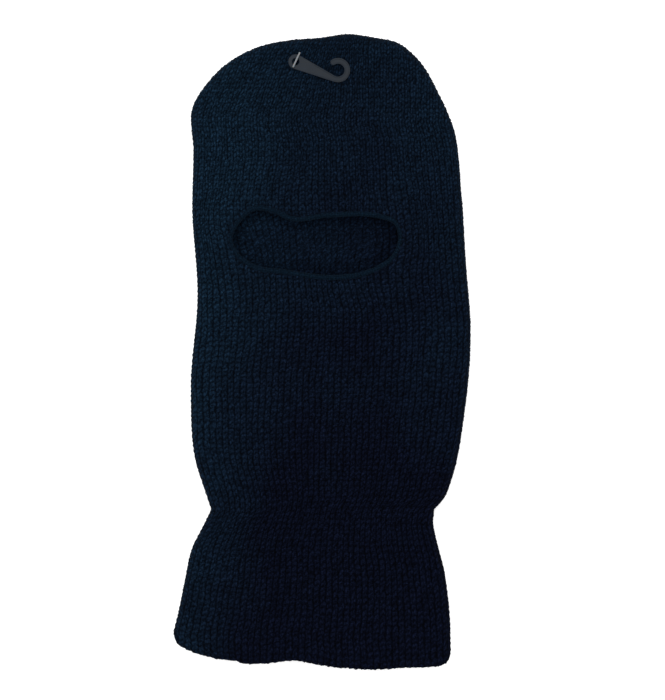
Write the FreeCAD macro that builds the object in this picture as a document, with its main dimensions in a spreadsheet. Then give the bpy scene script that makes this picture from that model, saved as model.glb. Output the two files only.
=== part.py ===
import FreeCAD, Part
import math
import os
import Sketcher

# A one-hole knitted balaclava, lying on its back. +X is across the face, +Y points to the crown,
# and +Z up through the layers, with the origin under the middle of the whole outline.
# The knitted tube lies flat: a back wall on the table, an air gap, and a front wall with the eye
# opening. The neck part joins the hood at the drawn-in waist, and folds up there over the hood.

doc = FreeCAD.newDocument("balaclava")
sheet = doc.addObject("Spreadsheet::Sheet", "dimensions")

DIMENSIONS = {
    "wall": (2.6, "thickness of the rib knit"),
    "side_wall": (3.0, "knit thickness where it turns round the side folds"),
    "half_loft": (6.1, "height of the parting plane, half of the laid thickness"),
    "fold_radius": (4.0, "rounding where the tube turns round at its sides"),
    "waist_y": (-101.0, "drawn-in waist, where the neck part starts"),
    "waist_gap": (0.4, "clearance between hood and neck at the fold line"),
    "hem_depth": (7.0, "height of the finished welt round the mouth"),
    "binding_width": (4.2, "eye binding, seen from the front"),
    "binding_low": (8.6, "lowest point of the binding, behind the front wall"),
    "binding_high": (13.2, "highest point of the binding, proud of the front wall"),
    "binding_round": (1.6, "rounding of the rolled binding"),
    "thread_width": (0.8, "chain of linking stitches round the binding"),
    "thread_high": (0.5, "how far those stitches stand proud of the knit"),
    "seam_depth": (5.0, "seam allowance inside the crown"),
    "seam_high": (2.8, "thickness of the overlocked allowance"),
    "hook_thick": (1.3, "moulded plate of the hang hook"),
    "hook_web": (0.3, "depth of the groove between the hook's rims"),
    "hook_rim": (0.9, "width of the rims of the hook"),
    "hook_head": (4.7, "radius of the eye end"),
    "hook_eye": (2.2, "radius of the eye hole"),
    "hook_arm": (3.7, "width of the curled arm"),
    "hook_curl": (7.8, "outer radius of the curl"),
    "hook_reach": (26.8, "eye hole to the middle of the curl, along the shank"),
    "hook_offset": (6.5, "middle of the curl above the line of the shank"),
    "hook_tip": (146.0, "where the curl ends, degrees round from the shank's direction"),
    "hook_turn": (-25.0, "how the shank lies, degrees from +X"),
    "hook_x": (-16.4, "eye hole"),
    "hook_y": (185.0, "eye hole"),
    "hook_gap": (0.4, "air under the hook"),
    "pin_radius": (0.55, "T-bar and anchor bar of the tag pin"),
    "filament_radius": (0.25, "nylon filament of the tag pin"),
    "filament_hole": (0.6, "stretched stitch that the filament passes"),
    "filament_offset": (1.2, "filament from the middle of the eye hole, towards the crown"),
    "bar_length": (10.2, "outer T-bar"),
    "bar_height": (2.1, "T-bar above the middle of the hook's plate"),
    "anchor_length": (9.0, "inner anchor bar"),
    "anchor_turn": (12.0, "how the anchor lies, degrees from +X"),
}
for row, (alias, (value, note)) in enumerate(DIMENSIONS.items(), start=1):
    sheet.set(f"A{row}", alias)
    sheet.set(f"B{row}", str(value))
    sheet.set(f"C{row}", note)
    sheet.setAlias(f"B{row}", alias)
doc.recompute()


def size(alias):
    """A driving dimension, as the sheet holds it."""
    return float(sheet.get(alias))


Z_AXIS = FreeCAD.Vector(0, 0, 1)

# Outlines of the laid tube, in mm, with only the points that give it its uneven, hand-laid shape.
# The hood's runs from the right end of the waist, over the crown, to its left end.
HOOD = [
    (72.0, -101.0), (78.4, -93.5), (83.6, -80.0), (90.9, -42.0), (95.2, 8.0), (92.0, 58.0),
    (89.0, 103.0), (83.4, 146.0), (75.0, 164.5), (61.0, 187.0), (49.0, 197.4), (34.0, 200.8),
    (16.6, 203.2), (-1.0, 200.8), (-20.0, 199.3), (-43.0, 194.0), (-58.5, 185.9), (-74.0, 171.5),
    (-82.6, 158.5), (-82.4, 128.0), (-82.4, 90.0), (-79.4, 38.0), (-83.6, -24.0),
    (-80.2, -72.0), (-75.0, -88.0), (-70.6, -101.0),
]
# The crown runs from one of these of its points to the other.
RIGHT_SHOULDER = 7
LEFT_SHOULDER = 18
NECK_RIGHT = [
    (82.4, -193.0), (81.6, -168.0), (78.0, -139.0), (73.0, -119.0), (71.2, -109.0), (72.0, -101.0),
]
NECK_LEFT = [
    (-70.6, -101.0), (-75.4, -111.0), (-82.6, -125.4), (-87.4, -146.0), (-92.0, -168.0),
    (-95.2, -181.0),
]
HEM = [
    (-95.2, -181.0), (-92.5, -187.0), (-83.0, -192.2), (-60.0, -197.0), (-36.0, -199.0),
    (-18.6, -197.8), (2.0, -201.2), (26.0, -203.2), (54.0, -202.3), (75.0, -201.4),
    (80.8, -198.6), (82.4, -193.0),
]
EYE = [
    (-58.0, 73.3), (-53.9, 62.1), (-43.8, 54.3), (-24.0, 51.0), (12.8, 47.5), (33.2, 51.9),
    (46.0, 60.8), (50.4, 73.1), (46.9, 82.8), (37.2, 86.4), (6.0, 87.3), (-20.4, 85.4),
    (-30.3, 89.8), (-42.6, 91.6), (-52.3, 84.1),
]


def spline(points, closed=False):
    """A smooth edge through hand-set points, in the XY plane."""
    curve = Part.BSplineCurve()
    curve.interpolate([FreeCAD.Vector(x, y, 0) for x, y in points], PeriodicFlag=closed)
    return curve


def inset(points, distance, closed=False):
    """The same outline moved sideways by distance: to the left of its direction of travel."""
    curve = spline(points, closed)
    moved = []
    for x, y in points:
        tangent = curve.tangent(curve.parameter(FreeCAD.Vector(x, y, 0)))[0]
        moved.append((x - tangent.y * distance, y + tangent.x * distance))
    return moved


def run_out(end, before, length):
    """The point that carries a line on past its end by length."""
    share = length / math.hypot(end[0] - before[0], end[1] - before[1])
    return (end[0] + (end[0] - before[0]) * share, end[1] + (end[1] - before[1]) * share)


def extended(points, first, last):
    """The outline with straight run-outs past both ends, so that a cavity opens through them."""
    return [run_out(points[0], points[1], first), *points, run_out(points[-1], points[-2], last)]


# ---------------------------------------------------------------- building blocks
def new_body(name):
    body = doc.addObject("PartDesign::Body", name)
    body.Label = name
    return body


def new_sketch(body, name, height):
    """A sketch on the body's own level plane, raised by an expression on the sheet."""
    sketch = body.newObject("Sketcher::SketchObject", name)
    plane = next(f for f in body.Origin.OriginFeatures if f.Role == "XY_Plane")
    sketch.AttachmentSupport = [(plane, "")]
    sketch.MapMode = "FlatFace"
    sketch.setExpression(".AttachmentOffset.Base.z", height)
    return sketch


# The numbers by which a sketch knows a curve's two ends.
START = 1
END = 2


def join(sketch, *joins):
    """Holds ends of curves together. Each join is a curve and its end, and another and its end."""
    for one, its_end, other, other_end in joins:
        sketch.addConstraint(Sketcher.Constraint("Coincident", one, its_end, other, other_end))


def draw(sketch, curves):
    """Adds the curves and joins each one's end to the next one's start."""
    numbers = [sketch.addGeometry(curve, False) for curve in curves]
    if len(numbers) > 1:
        following = numbers[1:] + numbers[:1]
        join(sketch, *[(one, END, other, START) for one, other in zip(numbers, following)])


def hold_radius(sketch, number, expression):
    """Holds the radius of a drawn circle or arc to an expression on the sheet."""
    radius = sketch.Geometry[number].Radius
    held = sketch.addConstraint(Sketcher.Constraint("Radius", number, radius))
    sketch.setExpression(f"Constraints[{held}]", expression)


def draw_ring(sketch, centre, alias):
    """A full circle with the radius that the sheet holds under the alias."""
    ring = sketch.addGeometry(Part.Circle(centre, Z_AXIS, size(alias)), False)
    hold_radius(sketch, ring, f"dimensions.{alias}")


def segment(start, end):
    return Part.LineSegment(FreeCAD.Vector(*start, 0), FreeCAD.Vector(*end, 0))


def pad(body, name, sketch, length):
    feature = body.newObject("PartDesign::Pad", name)
    feature.Profile = sketch
    feature.setExpression("Length", length)
    doc.recompute()
    return feature


def pocket(body, name, sketch, length, upwards=False):
    """A cut below the sketch, or above it. Fails if it takes nothing away and opens no new face."""
    before = body.Shape.Volume
    faces = len(body.Shape.Faces)
    feature = body.newObject("PartDesign::Pocket", name)
    feature.Profile = sketch
    feature.Reversed = upwards
    feature.setExpression("Length", length)
    doc.recompute()
    if body.Shape.Volume >= before and len(body.Shape.Faces) <= faces:
        raise RuntimeError(f"{body.Label}: {name} cuts nothing")
    return feature


def round_edges(body, name, radius, wanted):
    """Fillets the edges of the body's tip that the test picks."""
    base = body.Tip
    edges = [f"Edge{i}" for i, edge in enumerate(base.Shape.Edges, start=1) if wanted(edge)]
    feature = body.newObject("PartDesign::Fillet", name)
    feature.Base = (base, edges)
    feature.setExpression("Radius", radius)
    doc.recompute()
    return feature


LEVEL = 1e-4  # how near two heights are to be the same


def at_height(edge, height):
    box = edge.BoundBox
    return abs(box.ZMin - height) < LEVEL and abs(box.ZMax - height) < LEVEL


def is_curved(edge):
    return edge.Curve.TypeId != "Part::GeomLine"


LONG = 60.0  # shorter than any edge that runs round an outline, and longer than the rest


def is_long(edge):
    return edge.Length > LONG


WAIST = size("waist_y")
WALL = size("wall")
SIDE = size("side_wall")
HALF = size("half_loft")
FULL = 2 * HALF
# How far the cavities run on past the waist and past the mouth, so that they open there.
WAIST_RUN = 6.0
HEM_RUN = 25.0


def wall_panel(name, outline, cavity, front):
    """One wall of the laid tube, with its half of the side folds: a shallow tray with round edges.

    outline is a list of closed curves, cavity another, and front says which wall it is.
    """
    body = new_body(name)
    outer = new_sketch(body, f"{name}_outline", "dimensions.half_loft" if front else "0")
    draw(outer, outline)
    pad(body, f"{name}_pad", outer, "dimensions.half_loft")
    outside = FULL if front else 0.0
    round_edges(
        body,
        f"{name}_fold",
        "dimensions.fold_radius",
        lambda edge: at_height(edge, outside) and is_curved(edge) and is_long(edge),
    )
    inner = new_sketch(body, f"{name}_hollow", "dimensions.half_loft")
    draw(inner, cavity)
    pocket(body, f"{name}_cavity", inner, "dimensions.half_loft - dimensions.wall", front)
    return body


# ---------------------------------------------------------------- hood
hood_outline = [spline(HOOD), segment(HOOD[-1], HOOD[0])]
inner_hood = extended(inset(HOOD, SIDE), WAIST_RUN, WAIST_RUN)
hood_cavity = [spline(inner_hood), segment(inner_hood[-1], inner_hood[0])]

hood_back = wall_panel("hood_back", hood_outline, hood_cavity, front=False)
hood_front = wall_panel("hood_front", hood_outline, hood_cavity, front=True)

EYE_OUTER = inset(EYE, -size("binding_width") / 2, closed=True)
EYE_INNER = inset(EYE, size("binding_width") / 2, closed=True)
eye_cut = new_sketch(hood_front, "eye_cut", "2 * dimensions.half_loft")
draw(eye_cut, [spline(EYE_OUTER, closed=True)])
pocket(hood_front, "eye_opening", eye_cut, "dimensions.half_loft")

TURN = math.radians(size("hook_turn"))
ALONG = FreeCAD.Vector(math.cos(TURN), math.sin(TURN), 0)
ACROSS = FreeCAD.Vector(-math.sin(TURN), math.cos(TURN), 0)
EYE_HOLE = FreeCAD.Vector(size("hook_x"), size("hook_y"), 0)
FILAMENT = EYE_HOLE + ACROSS * size("filament_offset")

stitch = new_sketch(hood_front, "stitch_hole", "2 * dimensions.half_loft")
draw_ring(stitch, FILAMENT, "filament_hole")
pocket(hood_front, "filament_passage", stitch, "dimensions.half_loft")


# ---------------------------------------------------------------- neck and its hem welt
def shifted(points, rise):
    return [(x, y + rise) for x, y in points]


WELT = size("hem_depth")
right_side = spline(NECK_RIGHT)
left_side = spline(NECK_LEFT)
neck_top = WAIST - size("waist_gap")


HALVINGS = 60


def side_at(curve, y):
    """The point of a side outline at height y, found by halving the curve again and again."""
    low, high = curve.FirstParameter, curve.LastParameter
    rising = curve.value(high).y > curve.value(low).y
    for _ in range(HALVINGS):
        middle = (low + high) / 2
        if (curve.value(middle).y < y) == rising:
            low = middle
        else:
            high = middle
    point = curve.value(low)
    return (point.x, point.y)


# The welt's upper line runs parallel to the mouth. Each wall starts on it.
WELT_LEFT = side_at(left_side, NECK_LEFT[-1][1] + WELT)
WELT_RIGHT = side_at(right_side, NECK_RIGHT[0][1] + WELT)
MOUTH = HEM[2:-2]
welt_line = [WELT_LEFT, *shifted(MOUTH, WELT), WELT_RIGHT]
TOP_LEFT = side_at(left_side, neck_top)
TOP_RIGHT = side_at(right_side, neck_top)
left_wall = [TOP_LEFT, *NECK_LEFT[1:-1], WELT_LEFT]
right_wall = [WELT_RIGHT, *NECK_RIGHT[1:-1], TOP_RIGHT]
neck_outline = [
    spline(left_wall),
    spline(welt_line),
    spline(right_wall),
    segment(TOP_RIGHT, TOP_LEFT),
]
inner_left = extended(inset(left_wall, SIDE), WAIST_RUN, HEM_RUN)
inner_right = extended(inset(right_wall, SIDE), HEM_RUN, WAIST_RUN)
neck_cavity = [
    spline(inner_left),
    segment(inner_left[-1], inner_right[0]),
    spline(inner_right),
    segment(inner_right[-1], inner_left[0]),
]


def neck_panel(name, front):
    """One wall of the neck part: its side folds are rounded, its two ends are open."""
    body = new_body(name)
    outer = new_sketch(body, f"{name}_outline", "dimensions.half_loft" if front else "0")
    draw(outer, neck_outline)
    pad(body, f"{name}_pad", outer, "dimensions.half_loft")
    outside = FULL if front else 0.0
    round_edges(
        body,
        f"{name}_fold",
        "dimensions.fold_radius",
        lambda edge: at_height(edge, outside)
        and is_curved(edge)
        and edge.BoundBox.YLength > edge.BoundBox.XLength,
    )
    inner = new_sketch(body, f"{name}_hollow", "dimensions.half_loft")
    draw(inner, neck_cavity)
    pocket(body, f"{name}_cavity", inner, "dimensions.half_loft - dimensions.wall", front)
    return body


neck_back = neck_panel("neck_back", front=False)
neck_front = neck_panel("neck_front", front=True)

hem_welt = new_body("hem_welt")
welt_outline = new_sketch(hem_welt, "welt_outline", "0")
draw(
    welt_outline,
    [
        spline([WELT_LEFT, *HEM[1:-1], WELT_RIGHT]),
        spline(list(reversed(welt_line))),
    ],
)
pad(hem_welt, "welt_pad", welt_outline, "2 * dimensions.half_loft")
mouth_cut = new_sketch(hem_welt, "mouth_section", "2 * dimensions.half_loft - dimensions.wall")
# The mouth's cut starts a welt's height inside and runs out past the hem, between the two walls'
# inner sides. Its own sides draw in a little on the way, as the welt's ends do.
MOUTH_RUN = 6 * WELT
LEFT_DRAW = 1.5
RIGHT_DRAW = 0.6
mouth_left, mouth_right = inner_left[-2], inner_right[1]
mouth_corners = [
    (mouth_left[0], mouth_left[1] + WELT),
    (mouth_left[0] + LEFT_DRAW, mouth_left[1] - MOUTH_RUN),
    (mouth_right[0] - RIGHT_DRAW, mouth_right[1] - MOUTH_RUN),
    (mouth_right[0], mouth_right[1] + WELT),
]
draw(
    mouth_cut,
    [segment(a, b) for a, b in zip(mouth_corners, mouth_corners[1:] + mouth_corners[:1])],
)
pocket(hem_welt, "mouth", mouth_cut, "2 * dimensions.half_loft - 2 * dimensions.wall")

# ---------------------------------------------------------------- eye binding and its stitches
eye_binding = new_body("eye_binding")
binding_sketch = new_sketch(eye_binding, "binding_outline", "dimensions.binding_low")
draw(binding_sketch, [spline(EYE_OUTER, closed=True)])
draw(binding_sketch, [spline(EYE_INNER, closed=True)])
pad(
    eye_binding,
    "binding_pad",
    binding_sketch,
    "dimensions.binding_high - dimensions.binding_low",
)
round_edges(eye_binding, "binding_roll", "dimensions.binding_round", is_long)

THREAD_OUTER = inset(EYE, -size("binding_width") / 2 - size("thread_width"), closed=True)
eye_stitching = new_body("eye_stitching")
thread_sketch = new_sketch(eye_stitching, "stitch_line", "2 * dimensions.half_loft")
draw(thread_sketch, [spline(THREAD_OUTER, closed=True)])
draw(thread_sketch, [spline(EYE_OUTER, closed=True)])
pad(eye_stitching, "stitch_pad", thread_sketch, "dimensions.thread_high")

# ---------------------------------------------------------------- seam allowance inside the crown
CROWN = HOOD[RIGHT_SHOULDER : LEFT_SHOULDER + 1]
SEAM_CLEAR = 0.2  # air between the allowance and the knit
seam_outer = inset(CROWN, SIDE + SEAM_CLEAR)
seam_inner = inset(CROWN, SIDE + size("seam_depth"))
crown_seam = new_body("crown_seam")
seam_sketch = new_sketch(crown_seam, "seam_outline", "dimensions.half_loft - dimensions.seam_high / 2")
draw(
    seam_sketch,
    [
        spline(seam_outer),
        segment(seam_outer[-1], seam_inner[-1]),
        spline(list(reversed(seam_inner))),
        segment(seam_inner[0], seam_outer[0]),
    ],
)
pad(crown_seam, "seam_pad", seam_sketch, "dimensions.seam_high")

# ---------------------------------------------------------------- hang hook
ARM = size("hook_arm")
CURL = size("hook_curl")
CURL_MIDDLE = FreeCAD.Vector(size("hook_reach"), size("hook_offset"), 0)
HOOK_ORIGIN = FreeCAD.Vector(0, 0, 0)  # the middle of the eye


def polar(centre, radius, degrees):
    angle = math.radians(degrees)
    return centre + FreeCAD.Vector(math.cos(angle), math.sin(angle), 0) * radius


def arc(centre, radius, start, end):
    """A counter-clockwise arc between two angles in degrees."""
    circle = Part.Circle(centre, Z_AXIS, radius)
    return Part.ArcOfCircle(circle, math.radians(start), math.radians(end))


def hook_profile(margin):
    """The curves of the hook's outline, moved inwards by margin.

    The head is a circle round the eye. Its lower edge runs on a tangent to the curl's outside, and
    the upper edge to the curl's inside, where the arm leaves the tapering shank.
    """
    head = size("hook_head") - margin
    outer = CURL - margin
    inner = CURL - ARM + margin
    tip = polar(CURL_MIDDLE, CURL - ARM / 2, size("hook_tip"))
    distance = CURL_MIDDLE.Length
    bearing = math.degrees(math.atan2(CURL_MIDDLE.y, CURL_MIDDLE.x))
    # outer tangent below both circles
    lower = bearing - 90 - math.degrees(math.asin((outer - head) / distance))
    # crossing tangent: above the head, below the curl's hollow
    upper = bearing + math.degrees(math.acos((head + inner) / distance))
    tip_angle = size("hook_tip")
    head_arc = arc(HOOK_ORIGIN, head, upper, lower + 360)
    low_start = polar(HOOK_ORIGIN, head, lower)
    low_edge = Part.LineSegment(low_start, polar(CURL_MIDDLE, outer, lower))
    outside = arc(CURL_MIDDLE, outer, lower, tip_angle)
    cap = arc(tip, ARM / 2 - margin, tip_angle, tip_angle + 180)
    hollow = arc(CURL_MIDDLE, inner, upper - 180, tip_angle)
    high_end = polar(HOOK_ORIGIN, head, upper)
    high_edge = Part.LineSegment(polar(CURL_MIDDLE, inner, upper - 180), high_end)
    return head_arc, low_edge, outside, cap, hollow, high_edge


def draw_hook(sketch, curves):
    """Adds a hook's closed run: its eye end, low edge, outside, cap, hollow and high edge."""
    numbers = [sketch.addGeometry(curve, False) for curve in curves]
    eye_end, low, outside, cap, hollow, high = numbers
    join(
        sketch,
        (eye_end, END, low, START),
        (low, END, outside, START),
        (outside, END, cap, START),
        (cap, END, hollow, END),
        (hollow, START, high, START),
        (high, END, eye_end, START),
    )
    return numbers


hang_hook = new_body("hang_hook")
hook_sketch = new_sketch(hang_hook, "hook_outline", "-dimensions.hook_thick / 2")
head, _, curl_outside, _, curl_hollow, _ = draw_hook(hook_sketch, hook_profile(0.0))
hold_radius(hook_sketch, head, "dimensions.hook_head")
hold_radius(hook_sketch, curl_outside, "dimensions.hook_curl")
hold_radius(hook_sketch, curl_hollow, "dimensions.hook_curl - dimensions.hook_arm")
draw_ring(hook_sketch, HOOK_ORIGIN, "hook_eye")
pad(hang_hook, "hook_pad", hook_sketch, "dimensions.hook_thick")

# The groove between the rims runs along the shank and round the curl, clear of the eye.
GROOVE_CLEAR = 2.0  # from the round of the head to the groove's end
groove_start = size("hook_head") + GROOVE_CLEAR
groove = new_sketch(hang_hook, "hook_groove", "dimensions.hook_thick / 2")
_, low_run, outer_run, cap_run, hollow_run, high_run = hook_profile(size("hook_rim"))


def point_at(line, x):
    """Where a straight edge crosses the given x."""
    start, end = line.StartPoint, line.EndPoint
    share = (x - start.x) / (end.x - start.x)
    return start + (end - start) * share


groove_low = point_at(low_run, groove_start)
groove_high = point_at(high_run, groove_start)
draw_hook(
    groove,
    [
        Part.LineSegment(groove_high, groove_low),
        Part.LineSegment(groove_low, low_run.EndPoint),
        outer_run,
        cap_run,
        hollow_run,
        Part.LineSegment(high_run.StartPoint, groove_high),
    ],
)
pocket(hang_hook, "groove", groove, "dimensions.hook_web")

HOOK_Z = FULL + size("hook_gap") + size("hook_thick") / 2
hang_hook.Placement = FreeCAD.Placement(
    FreeCAD.Vector(EYE_HOLE.x, EYE_HOLE.y, HOOK_Z),
    FreeCAD.Rotation(Z_AXIS, size("hook_turn")),
)


# ---------------------------------------------------------------- tag pin: T-bar, filament, anchor
def bar(name, radius, length, centre, direction):
    """A straight round nylon bar with its middle at centre."""
    rod = doc.addObject("Part::Cylinder", name)
    rod.Label = name
    rod.setExpression("Radius", radius)
    rod.setExpression("Height", length)
    doc.recompute()
    start = centre - direction * (rod.Height.Value / 2)
    rod.Placement = FreeCAD.Placement(start, FreeCAD.Rotation(Z_AXIS, direction))
    return rod


BAR_Z = HOOK_Z + size("bar_height")
tag_bar = bar(
    "tag_pin_bar",
    "dimensions.pin_radius",
    "dimensions.bar_length",
    FreeCAD.Vector(FILAMENT.x, FILAMENT.y, BAR_Z),
    ACROSS,
)
ANCHOR_CLEAR = 0.3  # air between the anchor and the back wall
ANCHOR_Z = WALL + ANCHOR_CLEAR + size("pin_radius")
anchor_turn = math.radians(size("anchor_turn"))
tag_anchor = bar(
    "tag_pin_anchor",
    "dimensions.pin_radius",
    "dimensions.anchor_length",
    FreeCAD.Vector(FILAMENT.x, FILAMENT.y, ANCHOR_Z),
    FreeCAD.Vector(math.cos(anchor_turn), math.sin(anchor_turn), 0),
)
# The filament stands on the anchor and stops just under the T-bar, which turns above it.
FILAMENT_CLEAR = 0.05
tag_filament = doc.addObject("Part::Cylinder", "tag_pin_filament")
tag_filament.Label = "tag_pin_filament"
tag_filament.setExpression("Radius", "dimensions.filament_radius")
filament_foot = ANCHOR_Z + size("pin_radius")
tag_filament.Height = BAR_Z - size("pin_radius") - FILAMENT_CLEAR - filament_foot
tag_filament.Placement.Base = FreeCAD.Vector(FILAMENT.x, FILAMENT.y, filament_foot)

# ---------------------------------------------------------------- check and write
doc.recompute()
PIECES = [
    hood_front,
    hood_back,
    neck_front,
    neck_back,
    hem_welt,
    eye_binding,
    eye_stitching,
    crown_seam,
    hang_hook,
    tag_bar,
    tag_filament,
    tag_anchor,
]
for item in doc.Objects:
    if "Invalid" in item.State or "Error" in item.State:
        raise RuntimeError(f"{item.Label} failed: {item.State}")
os.makedirs("parts", exist_ok=True)
for piece in PIECES:
    shape = piece.Shape
    if shape.isNull() or not shape.isValid() or len(shape.Solids) != 1:
        raise RuntimeError(f"{piece.Label} isn't one valid solid")
    shape.exportStep(f"parts/{piece.Label}.step")
    box = shape.BoundBox
    print(
        f"{piece.Label}: {shape.Volume:.1f} mm3, x {box.XMin:.1f} {box.XMax:.1f},"
        f" y {box.YMin:.1f} {box.YMax:.1f}, z {box.ZMin:.2f} {box.ZMax:.2f}"
    )
print(f"filament at {FILAMENT.x:.3f}, {FILAMENT.y:.3f}; hook mid-plane at {HOOK_Z:.3f}")
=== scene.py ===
"""Ribbed knit balaclava with an eye opening, laid flat, with its hang hook and tag pin."""

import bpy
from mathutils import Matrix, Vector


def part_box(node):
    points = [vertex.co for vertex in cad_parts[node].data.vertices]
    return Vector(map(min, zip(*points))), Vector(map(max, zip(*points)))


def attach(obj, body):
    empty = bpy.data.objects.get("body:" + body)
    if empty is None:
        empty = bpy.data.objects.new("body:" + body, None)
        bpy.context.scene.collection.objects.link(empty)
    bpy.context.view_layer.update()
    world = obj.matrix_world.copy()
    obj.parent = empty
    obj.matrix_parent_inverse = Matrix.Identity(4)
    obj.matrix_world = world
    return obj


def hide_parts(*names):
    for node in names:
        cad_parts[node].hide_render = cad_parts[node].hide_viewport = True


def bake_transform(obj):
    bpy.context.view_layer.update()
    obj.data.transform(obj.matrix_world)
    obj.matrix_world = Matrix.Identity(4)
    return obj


bl_info = {
    "name": "Laid balaclava",
    "version": (1, 0, 0),
    "blender": (4, 5, 0),
    "location": "View3D > Sidebar > Balaclava",
    "description": "Rib knit balaclava laid flat, with its eye band, hang hook and tag pin",
    "category": "Add Mesh",
}

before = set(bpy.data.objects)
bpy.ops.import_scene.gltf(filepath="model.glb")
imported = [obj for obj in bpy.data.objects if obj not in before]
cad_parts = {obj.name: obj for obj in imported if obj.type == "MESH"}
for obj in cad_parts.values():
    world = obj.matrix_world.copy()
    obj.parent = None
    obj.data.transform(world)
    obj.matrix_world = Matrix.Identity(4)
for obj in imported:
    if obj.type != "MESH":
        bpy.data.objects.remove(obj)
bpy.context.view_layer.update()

import math

import bmesh
import bpy
import numpy as np
from mathutils import Matrix, Vector
from mathutils.kdtree import KDTree

MM = 0.001
UP = np.array([0.0, 0.0, 1.0])

# The laid tube: the fold between its two sides is at MIDDLE, and its top side at LOFT.
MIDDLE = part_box("hood_front")[0].z
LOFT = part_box("hood_front")[1].z
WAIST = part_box("hood_front")[0].y

# Outlines of the laid piece on the table.
HOOD = MM * np.array([
    (72.3, -101), (78.8, -93.5), (84, -80), (91.3, -42), (95.6, 8), (92.5, 58), (89.5, 103),
    (83.8, 146), (75.6, 164.9), (61.6, 187.5), (49, 197.6), (34, 201), (16.6, 203.4), (-1, 201.1),
    (-20, 199.6), (-43, 194.2), (-58.5, 185.9), (-73.8, 171.4), (-82.1, 158), (-81.9, 128),
    (-82.4, 90), (-79.4, 38), (-83.6, -24), (-80.2, -72), (-75, -88), (-70.6, -101),
])
RIGHT_SHOULDER = 7
LEFT_SHOULDER = 18
NECK_RIGHT = MM * np.array([
    (82.9, -193), (82.1, -168), (78.5, -139), (73.4, -119), (71.6, -109), (72.3, -101),
])
NECK_LEFT = MM * np.array([
    (-70.6, -101), (-75.4, -111), (-82.6, -125.4), (-87.4, -146), (-92, -168), (-95.2, -181),
])
MOUTH = MM * np.array([
    (-95.2, -181), (-92.5, -187), (-83, -192.2), (-60, -197), (-36, -199), (-18.6, -197.8),
    (2, -201.2), (26, -203.2), (54, -202.3), (75, -201.2), (81.2, -198.5), (82.9, -193),
])
EYE = MM * np.array([
    (-58, 73.3), (-53.9, 62.1), (-43.8, 54.3), (-24, 51), (12.8, 47.5), (33.2, 51.9),
    (46, 60.8), (50.4, 73.1), (46.9, 82.8), (37.2, 86.4), (6, 87.3), (-20.4, 85.4),
    (-30.3, 89.8), (-42.6, 91.6), (-52.3, 84.1),
])


# ------------------------------------------------------------------ sizes and colours
def length(name, millimetres, description):
    """A length that a user may change, kept in metres."""
    return bpy.props.FloatProperty(
        name=name, description=description, default=millimetres * MM, unit="LENGTH",
        precision=5,
    )


def linear(hexadecimal):
    """An sRGB colour, written as six hex digits, in linear light."""
    shares = [int(hexadecimal[i:i + 2], 16) / 255 for i in (0, 2, 4)]
    return [s / 12.92 if s <= 0.04045 else ((s + 0.055) / 1.055) ** 2.4 for s in shares]


def colour(name, hexadecimal, description):
    """A colour that a user may change."""
    return bpy.props.FloatVectorProperty(
        name=name, description=description, default=linear(hexadecimal), subtype="COLOR",
        size=3, min=0, max=1,
    )


class KnitSizes(bpy.types.PropertyGroup):
    """Sizes of the ribbed tube"""

    ribs: bpy.props.IntProperty(
        name="Ribs", description="Ribs across one laid side", default=46, min=8, max=80)
    course: length("Course", 3.09, "Height of one row of stitches on the face")
    neck_course: length("Neck course", 3.5, "The same on the neck, where the cloth hangs looser")
    rib_depth: length("Rib depth", 0.7, "From the crest of a rib to the valley beside it")
    table_depth: length("Depth below", 0.8, "The same on the side that lies on the table")
    stitch: length("Stitch height", 0.75, "How far each stitch stands out of its rib")
    wander: length("Wander", 4.2, "How far the ribs stray from their line")
    jitter: length("Jitter", 0.6, "How far single stitches sit out of line")
    wobble: bpy.props.FloatProperty(
        name="Wobble", description="How unsteady the valleys run, in ribs", default=0.35,
        min=0, max=1)
    groove: bpy.props.FloatProperty(
        name="Centre groove", description="Share of the groove in a rib's middle, at the crown",
        default=0.85, min=0, max=1, subtype="FACTOR")
    lower_groove: bpy.props.FloatProperty(
        name="Lower groove", description="The same below the eye opening, where ribs close up",
        default=0.6, min=0, max=1, subtype="FACTOR")
    wave: length("Wave", 0.9, "Slow rise and fall of the cloth")
    side_fold: length("Side fold", 7.0, "Reach of the round fold at each side")
    crown_fold: length("Crown fold", 10.0, "Reach of the round fold at the crown")
    wall: length("Wall", 3.3, "Thickness of the knitted wall")
    hem: length("Hem", 7.0, "Height of the turned hem at the mouth")


class BandSizes(bpy.types.PropertyGroup):
    """Sizes of the band round the eye opening and of the seams"""

    side_width: length("Width at the ends", 2.8, "Width of the band at the ends of the opening")
    lip_width: length("Width at the lips", 3.5, "Width along the upper and lower lip")
    course: length("Course", 1.7, "Spacing of the fine stitches along the band")
    relief: length("Relief", 0.3, "Depth of the fine stitches")
    linking: length("Linking stitches", 3.1, "Spacing of the linking stitches beside the band")


class HookSizes(bpy.types.PropertyGroup):
    """Sizes of the moulded hang hook"""

    rim: length("Rim", 0.9, "Width of the raised rims")
    groove: length("Groove", 0.3, "Depth between the rims along the curled arm")
    head: length("Head", 4.7, "Radius of the eye end")
    eye: length("Eye", 2.2, "Radius of the eye hole")
    arm: length("Arm", 3.7, "Width of the curled arm")
    curl: length("Curl", 7.8, "Outer radius of the curl")
    reach: length("Reach", 26.8, "Eye hole to the middle of the curl, along the shank")
    offset: length("Offset", 6.5, "Middle of the curl above the line of the shank")
    tip: bpy.props.FloatProperty(
        name="Tip", description="Where the curl ends, round from the shank's direction",
        default=math.radians(146), subtype="ANGLE")
    turn: bpy.props.FloatProperty(
        name="Turn", description="How the shank lies", default=math.radians(-25),
        subtype="ANGLE")


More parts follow.
